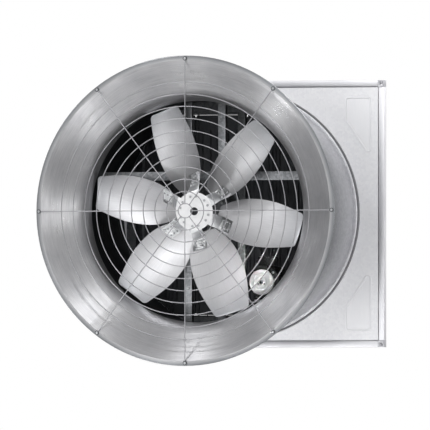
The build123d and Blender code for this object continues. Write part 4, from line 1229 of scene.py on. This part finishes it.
@dataclass
class Rotor:
    """Blades, arms, hub and shaft, which turn together."""

    body: str = "fan_rotor"
    blades: int = 6
    bore: float = 0.0228
    ring: float = 0.037
    ring_height: float = 0.0032
    ring_bore_ease: float = 0.0008
    ring_ease: float = 0.0012
    shaft: float = 0.0177
    end_screw: Hexagon = Hexagon(across=0.0105, height=0.009, washer=0.0165)
    collar_gap: float = 0.001
    collar_length: float = 0.012
    collar_face: float = 0.0275
    collar_radius: float = 0.0285
    collar_ease: float = 0.001
    collar_bore_ease: float = 0.0006
    grub_radius: float = 0.0032
    grub_length: float = 0.004
    grub_rounding: float = 0.0006

    def hub_front(self) -> None:
        """Put the lock ring round the bore and the end screw on the shaft."""
        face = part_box("hub_front_disc")[0][1]
        high = face - self.ring_height
        ring = turned_piece("hub_lock_ring", [
            (self.bore, face), (self.bore, high + self.ring_bore_ease),
            (self.bore + self.ring_bore_ease, high), (self.ring - self.ring_ease, high),
            (self.ring, high + self.ring_ease), (self.ring, face),
        ], FAN_AXIS, segments=64)
        settle(ring, self.body, Finishes.HUB)
        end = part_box("fan_shaft")[0][1]
        screw = self.end_screw.build("shaft_end_screw")
        screw.data.transform(Matrix.Translation((FAN_AXIS.x, end, 0.0)) @ TO_OUTLET)
        # The end screw's near-black finish is black oxide, and it also stands in as painted shade
        # in the bore.
        settle(screw, self.body, Finishes.BLACKED)

    def lock_collar(self) -> None:
        """Clamp a collar with its grub screw on the shaft before the front bearing."""
        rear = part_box("bearing_housing_front")[0][1] - self.collar_gap
        front = rear - self.collar_length
        collar = turned_piece("shaft_lock_collar", [
            (self.shaft, rear), (self.shaft, front + self.collar_bore_ease),
            (self.shaft + self.collar_bore_ease, front), (self.collar_face, front),
            (self.collar_radius, front + self.collar_ease),
            (self.collar_radius, rear - self.collar_ease), (self.collar_face, rear),
        ], FAN_AXIS, segments=48)
        clear_selection()
        bpy.ops.mesh.primitive_cylinder_add(
            vertices=20, radius=self.grub_radius, depth=self.grub_length,
            location=(FAN_AXIS.x, (front + rear) / 2, self.collar_radius))
        grub = bpy.context.object
        bpy.ops.object.transform_apply(location=True, rotation=True, scale=True)
        round_edges(grub, self.grub_rounding)
        collar.select_set(True)
        bpy.context.view_layer.objects.active = collar
        bpy.ops.object.join()
        settle(collar, self.body, Finishes.BLACKED)

    def build(self) -> None:
        """Dress the rotor and add its lock ring, end screw and collar."""
        for i in range(self.blades):
            dress(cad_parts[f"blade_{i + 1}"], Finishes.BLADE)
        for node, width_mm, finish, slot in (
            ("blade_arms", 1.0, Finishes.ARM, "pressed_arms"),
            ("blade_rivets", 1.4, Finishes.PLATED, "plated_fasteners"),
            ("hub_front_disc", 0.8, Finishes.HUB, "hub_casting"),
            ("hub_boss", 1.0, Finishes.BOSS, "hub_casting"),
            ("hub_bolts", 0.8, Finishes.PLATED, "plated_fasteners"),
            ("fan_shaft", 1.0, Finishes.SHAFT, "turned_steel"),
            ("bearing_rings", 0.5, Finishes.TURNED, "turned_steel"),
            ("fan_pulley", 1.0, Finishes.PULLEY, "cast_pulley"),
        ):
            eased_copy(node, self.body, width_mm, finish)
        self.hub_front()
        self.lock_collar()


@dataclass
class Carrier:
    """The posts, beam, bridges and bearing housings."""

    body: str = "housing"
    middle: float = -0.73
    frame_bolt: Hexagon = Hexagon(across=0.0075, height=0.0062, washer=0.0084)
    housing_top: float = 0.0436
    nipple_foot: float = 0.0052
    nipple_foot_height: float = 0.005
    nipple_neck: tuple[float, float] = (0.0034, 0.0022)
    nipple_neck_height: float = 0.006
    nipple_neck_middle: float = 0.008
    nipple_tip: float = 0.0031
    nipple_tip_middle: float = 0.0125
    nipple_rounding: float = 0.0003

    def bolt_heads(self) -> None:
        """Put a chamfered head on a washer face at each frame bolt."""
        places = []
        for low, high in solids_of("frame_bolts"):
            heart = (low + high) / 2
            out = heart.y < self.middle
            seat = Vector((heart.x, high.y if out else low.y, heart.z))
            places.append(Matrix.Translation(seat) @ (TO_OUTLET if out else TO_WALL))
        heads = repeat(self.frame_bolt.build("frame_bolt_heads"), places)
        settle(heads, self.body, Finishes.PLATED, ("frame_bolts",))

    def grease_nipples(self) -> None:
        """Screw a grease nipple into the top of each bearing housing."""
        clear_selection()
        bpy.ops.mesh.primitive_cylinder_add(
            vertices=6, radius=self.nipple_foot, depth=self.nipple_foot_height,
            location=(0.0, 0.0, self.nipple_foot_height / 2))
        foot = bpy.context.object
        wide, narrow = self.nipple_neck
        bpy.ops.mesh.primitive_cone_add(
            vertices=20, radius1=wide, radius2=narrow, depth=self.nipple_neck_height,
            location=(0.0, 0.0, self.nipple_neck_middle))
        neck = bpy.context.object
        bpy.ops.mesh.primitive_uv_sphere_add(
            segments=20, ring_count=12, radius=self.nipple_tip,
            location=(0.0, 0.0, self.nipple_tip_middle))
        tip = bpy.context.object
        for part in (foot, neck, tip):
            part.select_set(True)
        bpy.context.view_layer.objects.active = foot
        bpy.ops.object.join()
        nipple = bpy.context.object
        nipple.name = "grease_nipples"
        bpy.ops.object.transform_apply(location=True, rotation=True, scale=True)
        round_edges(nipple, self.nipple_rounding)
        places = []
        for name, share in (("bearing_housing_front", 0.35), ("bearing_housing_rear", 0.65)):
            low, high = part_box(name)
            places.append(Matrix.Translation(
                (FAN_AXIS.x, low[1] + (high[1] - low[1]) * share, self.housing_top)))
        settle(repeat(nipple, places), self.body, Finishes.PLATED)

    def build(self) -> None:
        """Round and dress the carrying pieces and add their bolts and grease nipples."""
        for name in (
            "bearing_post_left", "bearing_post_right", "motor_post", "upper_beam",
            "bearing_bridge_front", "bearing_bridge_rear",
        ):
            eased_copy(name, self.body, 1.5, Finishes.FRAME)
        for name in ("bearing_housing_front", "bearing_housing_rear"):
            eased_copy(name, self.body, 2.0, Finishes.CASTING)
        self.bolt_heads()
        self.grease_nipples()


@dataclass
class Drive:
    """The motor, its mount, the pulleys and the belt."""

    body: str = "housing"
    spinning: str = "motor_rotor"
    bush: float = 0.029
    bush_bore: float = 0.0125
    bush_rise: float = 0.005
    bush_root: float = 0.002
    bush_ease: float = 0.0015
    bush_screw_circle: float = 0.0205
    bush_screw: Hexagon = Hexagon(across=0.0034, height=0.0028, washer=0.0042)
    shaft_bolt: Hexagon = Hexagon(across=0.0078, height=0.006, washer=0.0122)
    shield_face: float = -0.607
    shield_bolt_circle: float = 0.078
    shield_bolt: Hexagon = Hexagon(across=0.0062, height=0.0055, washer=0.007)
    box_half_width: float = 0.046
    lid_overhang: float = 0.002
    lid_drop: float = 0.003
    lid_rise: float = 0.004
    lid_rounding: float = 0.002
    lid_screw_inset: float = 0.009
    lid_screw: Hexagon = Hexagon(across=0.0038, height=0.003, washer=0.0045)
    foot_bolt: Hexagon = Hexagon(across=0.0075, height=0.0062, washer=0.009)

    def pulley_bush(self) -> None:
        """Put the taper bush, its screws and the end bolt on the motor pulley."""
        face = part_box("motor_pulley")[0][1]
        front, root = face - self.bush_rise, face + self.bush_root
        ring = turned_piece("motor_pulley_bush", [
            (self.bush_bore, root), (self.bush_bore, front),
            (self.bush - self.bush_ease, front), (self.bush, front + self.bush_ease),
            (self.bush, root),
        ], MOTOR_AXIS, segments=56)
        settle(ring, self.spinning, Finishes.MOTOR_PULLEY)
        middle = Vector((MOTOR_AXIS.x, front, MOTOR_AXIS.z))
        places = [
            about_axle(90 + 120 * i, middle)
            @ Matrix.Translation((self.bush_screw_circle, 0.0, 0.0)) @ TO_OUTLET
            for i in range(3)
        ]
        screws = repeat(self.bush_screw.build("motor_bush_screws"), places)
        settle(screws, self.spinning, Finishes.BLACKED)
        bolt = self.shaft_bolt.build("motor_shaft_bolt")
        bolt.data.transform(Matrix.Translation(middle) @ TO_OUTLET)
        settle(bolt, self.spinning, Finishes.BLACKED)

    def shield_bolts(self) -> None:
        """Add the bolts that hold the motor's front end shield."""
        middle = Vector((MOTOR_AXIS.x, self.shield_face, MOTOR_AXIS.z))
        places = [
            about_axle(45 + 90 * i, middle)
            @ Matrix.Translation((self.shield_bolt_circle, 0.0, 0.0)) @ TO_OUTLET
            for i in range(4)
        ]
        heads = repeat(self.shield_bolt.build("end_shield_bolts"), places)
        settle(heads, self.body, Finishes.PLATED)

    def terminal_lid(self) -> None:
        """Close the terminal box with its lid and four screws."""
        low, high = (Vector(c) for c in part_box("motor_terminal_box"))
        left, right = MOTOR_AXIS.x - self.box_half_width, MOTOR_AXIS.x + self.box_half_width
        grow = Vector((self.lid_overhang, self.lid_overhang, 0.0))
        top = high.z + self.lid_rise
        lid = slab(
            "terminal_box_lid", Vector((left, low.y, high.z - self.lid_drop)) - grow,
            Vector((right, high.y, top)) + grow, self.lid_rounding)
        settle(lid, self.body, Finishes.ENAMEL)
        inset = self.lid_screw_inset
        places = [
            Matrix.Translation((x, y, top))
            for x in (left + inset, right - inset) for y in (low.y + inset, high.y - inset)
        ]
        screws = repeat(self.lid_screw.build("terminal_lid_screws"), places)
        settle(screws, self.body, Finishes.PLATED)

    def mount_bolts(self) -> None:
        """Put a chamfered head on a washer face at each foot bolt."""
        places = [
            Matrix.Translation(((low.x + high.x) / 2, (low.y + high.y) / 2, low.z))
            for low, high in solids_of("motor_bolts")
        ]
        heads = repeat(self.foot_bolt.build("motor_bolt_heads"), places)
        settle(heads, self.body, Finishes.PLATED, ("motor_bolts",))

    def build(self) -> None:
        """Dress the drive and add its bolts, lid and bush."""
        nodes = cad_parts
        dress(nodes["motor_shell"], Finishes.ENAMEL)
        dress(nodes["motor_cooling_fan"], Finishes.NYLON)
        for node, body, width_mm, finish, slot in (
            ("motor_end_shields", self.body, 2.0, Finishes.ENAMEL, "motor_paint"),
            ("motor_fan_cover", self.body, 1.0, Finishes.ENAMEL, "motor_paint"),
            ("motor_terminal_box", self.body, 2.0, Finishes.ENAMEL, "motor_paint"),
            ("motor_shelf", self.body, 1.0, Finishes.SHEET, "galvanised_sheet"),
            ("motor_slide_rails", self.body, 1.0, Finishes.SHEET, "galvanised_sheet"),
            ("motor_rotor_shaft", self.spinning, 1.0, Finishes.TURNED, "turned_steel"),
            ("motor_pulley", self.spinning, 1.0, Finishes.MOTOR_PULLEY, "cast_pulley"),
            ("drive_belt", self.body, 1.8, Finishes.RUBBER, "black_rubber"),
        ):
            eased_copy(node, body, width_mm, finish)
        self.mount_bolts()
        self.shield_bolts()
        self.terminal_lid()
        self.pulley_bush()


@dataclass
class Shutter:
    """The intake shutter: frame, slats and tie bar."""

    body: str = "housing"
    slats: int = 8
    first_pivot: float = -0.6595
    pitch: float = 0.154
    sheet_front: float = 0.136
    rib_reach: float = 0.49
    rib_radius: float = 0.0042
    rib_flattening: float = 0.55
    rib_rounding: float = 0.0015
    rib_places: tuple[float, ...] = (0.024, 0.072, 0.112)

    def slat_ribs(self) -> None:
        """Roll stiffening ribs along each slat."""
        clear_selection()
        bpy.ops.mesh.primitive_cylinder_add(
            vertices=18, radius=self.rib_radius, depth=self.rib_reach * 2)
        rib = bpy.context.object
        rib.name = "slat_rib"
        rib.scale = (1.0, self.rib_flattening, 1.0)
        bpy.ops.object.transform_apply(location=True, rotation=True, scale=True)
        round_edges(rib, self.rib_rounding, angle=50.0)
        for i in range(self.slats):
            pivot = self.first_pivot + self.pitch * i
            one = rib.copy()
            one.data = rib.data.copy()
            one.name = f"slat_{i + 1}_ribs"
            bpy.context.scene.collection.objects.link(one)
            places = [
                Matrix.Translation((pivot + x, self.sheet_front, 0.0)) for x in self.rib_places
            ]
            settle(repeat(one, places), f"slat_{i + 1}", Finishes.SLAT)
        bpy.data.objects.remove(rib)

    def build(self) -> None:
        """Dress the shutter and add the slats' ribs."""
        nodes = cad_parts
        dress(nodes["shutter_frame"], Finishes.SHUTTER)
        dress(nodes["shutter_end_lips"], Finishes.SHUTTER)
        for i in range(self.slats):
            dress(nodes[f"shutter_slat_{i + 1}"], Finishes.SLAT)
        dress(nodes["shutter_tie_bar"], Finishes.SLAT)
        self.slat_ribs()


def main() -> None:
    """Build every part of the scene in order."""
    logging.basicConfig(level=logging.INFO, format="%(name)s: %(message)s")
    for part in (Studio(), Panel(), Duct(), Guard(), Rotor(), Carrier(), Drive(), Shutter()):
        LOG.info("building %s", type(part).__name__)
        part.build()


if __name__ == "__main__":
    main()
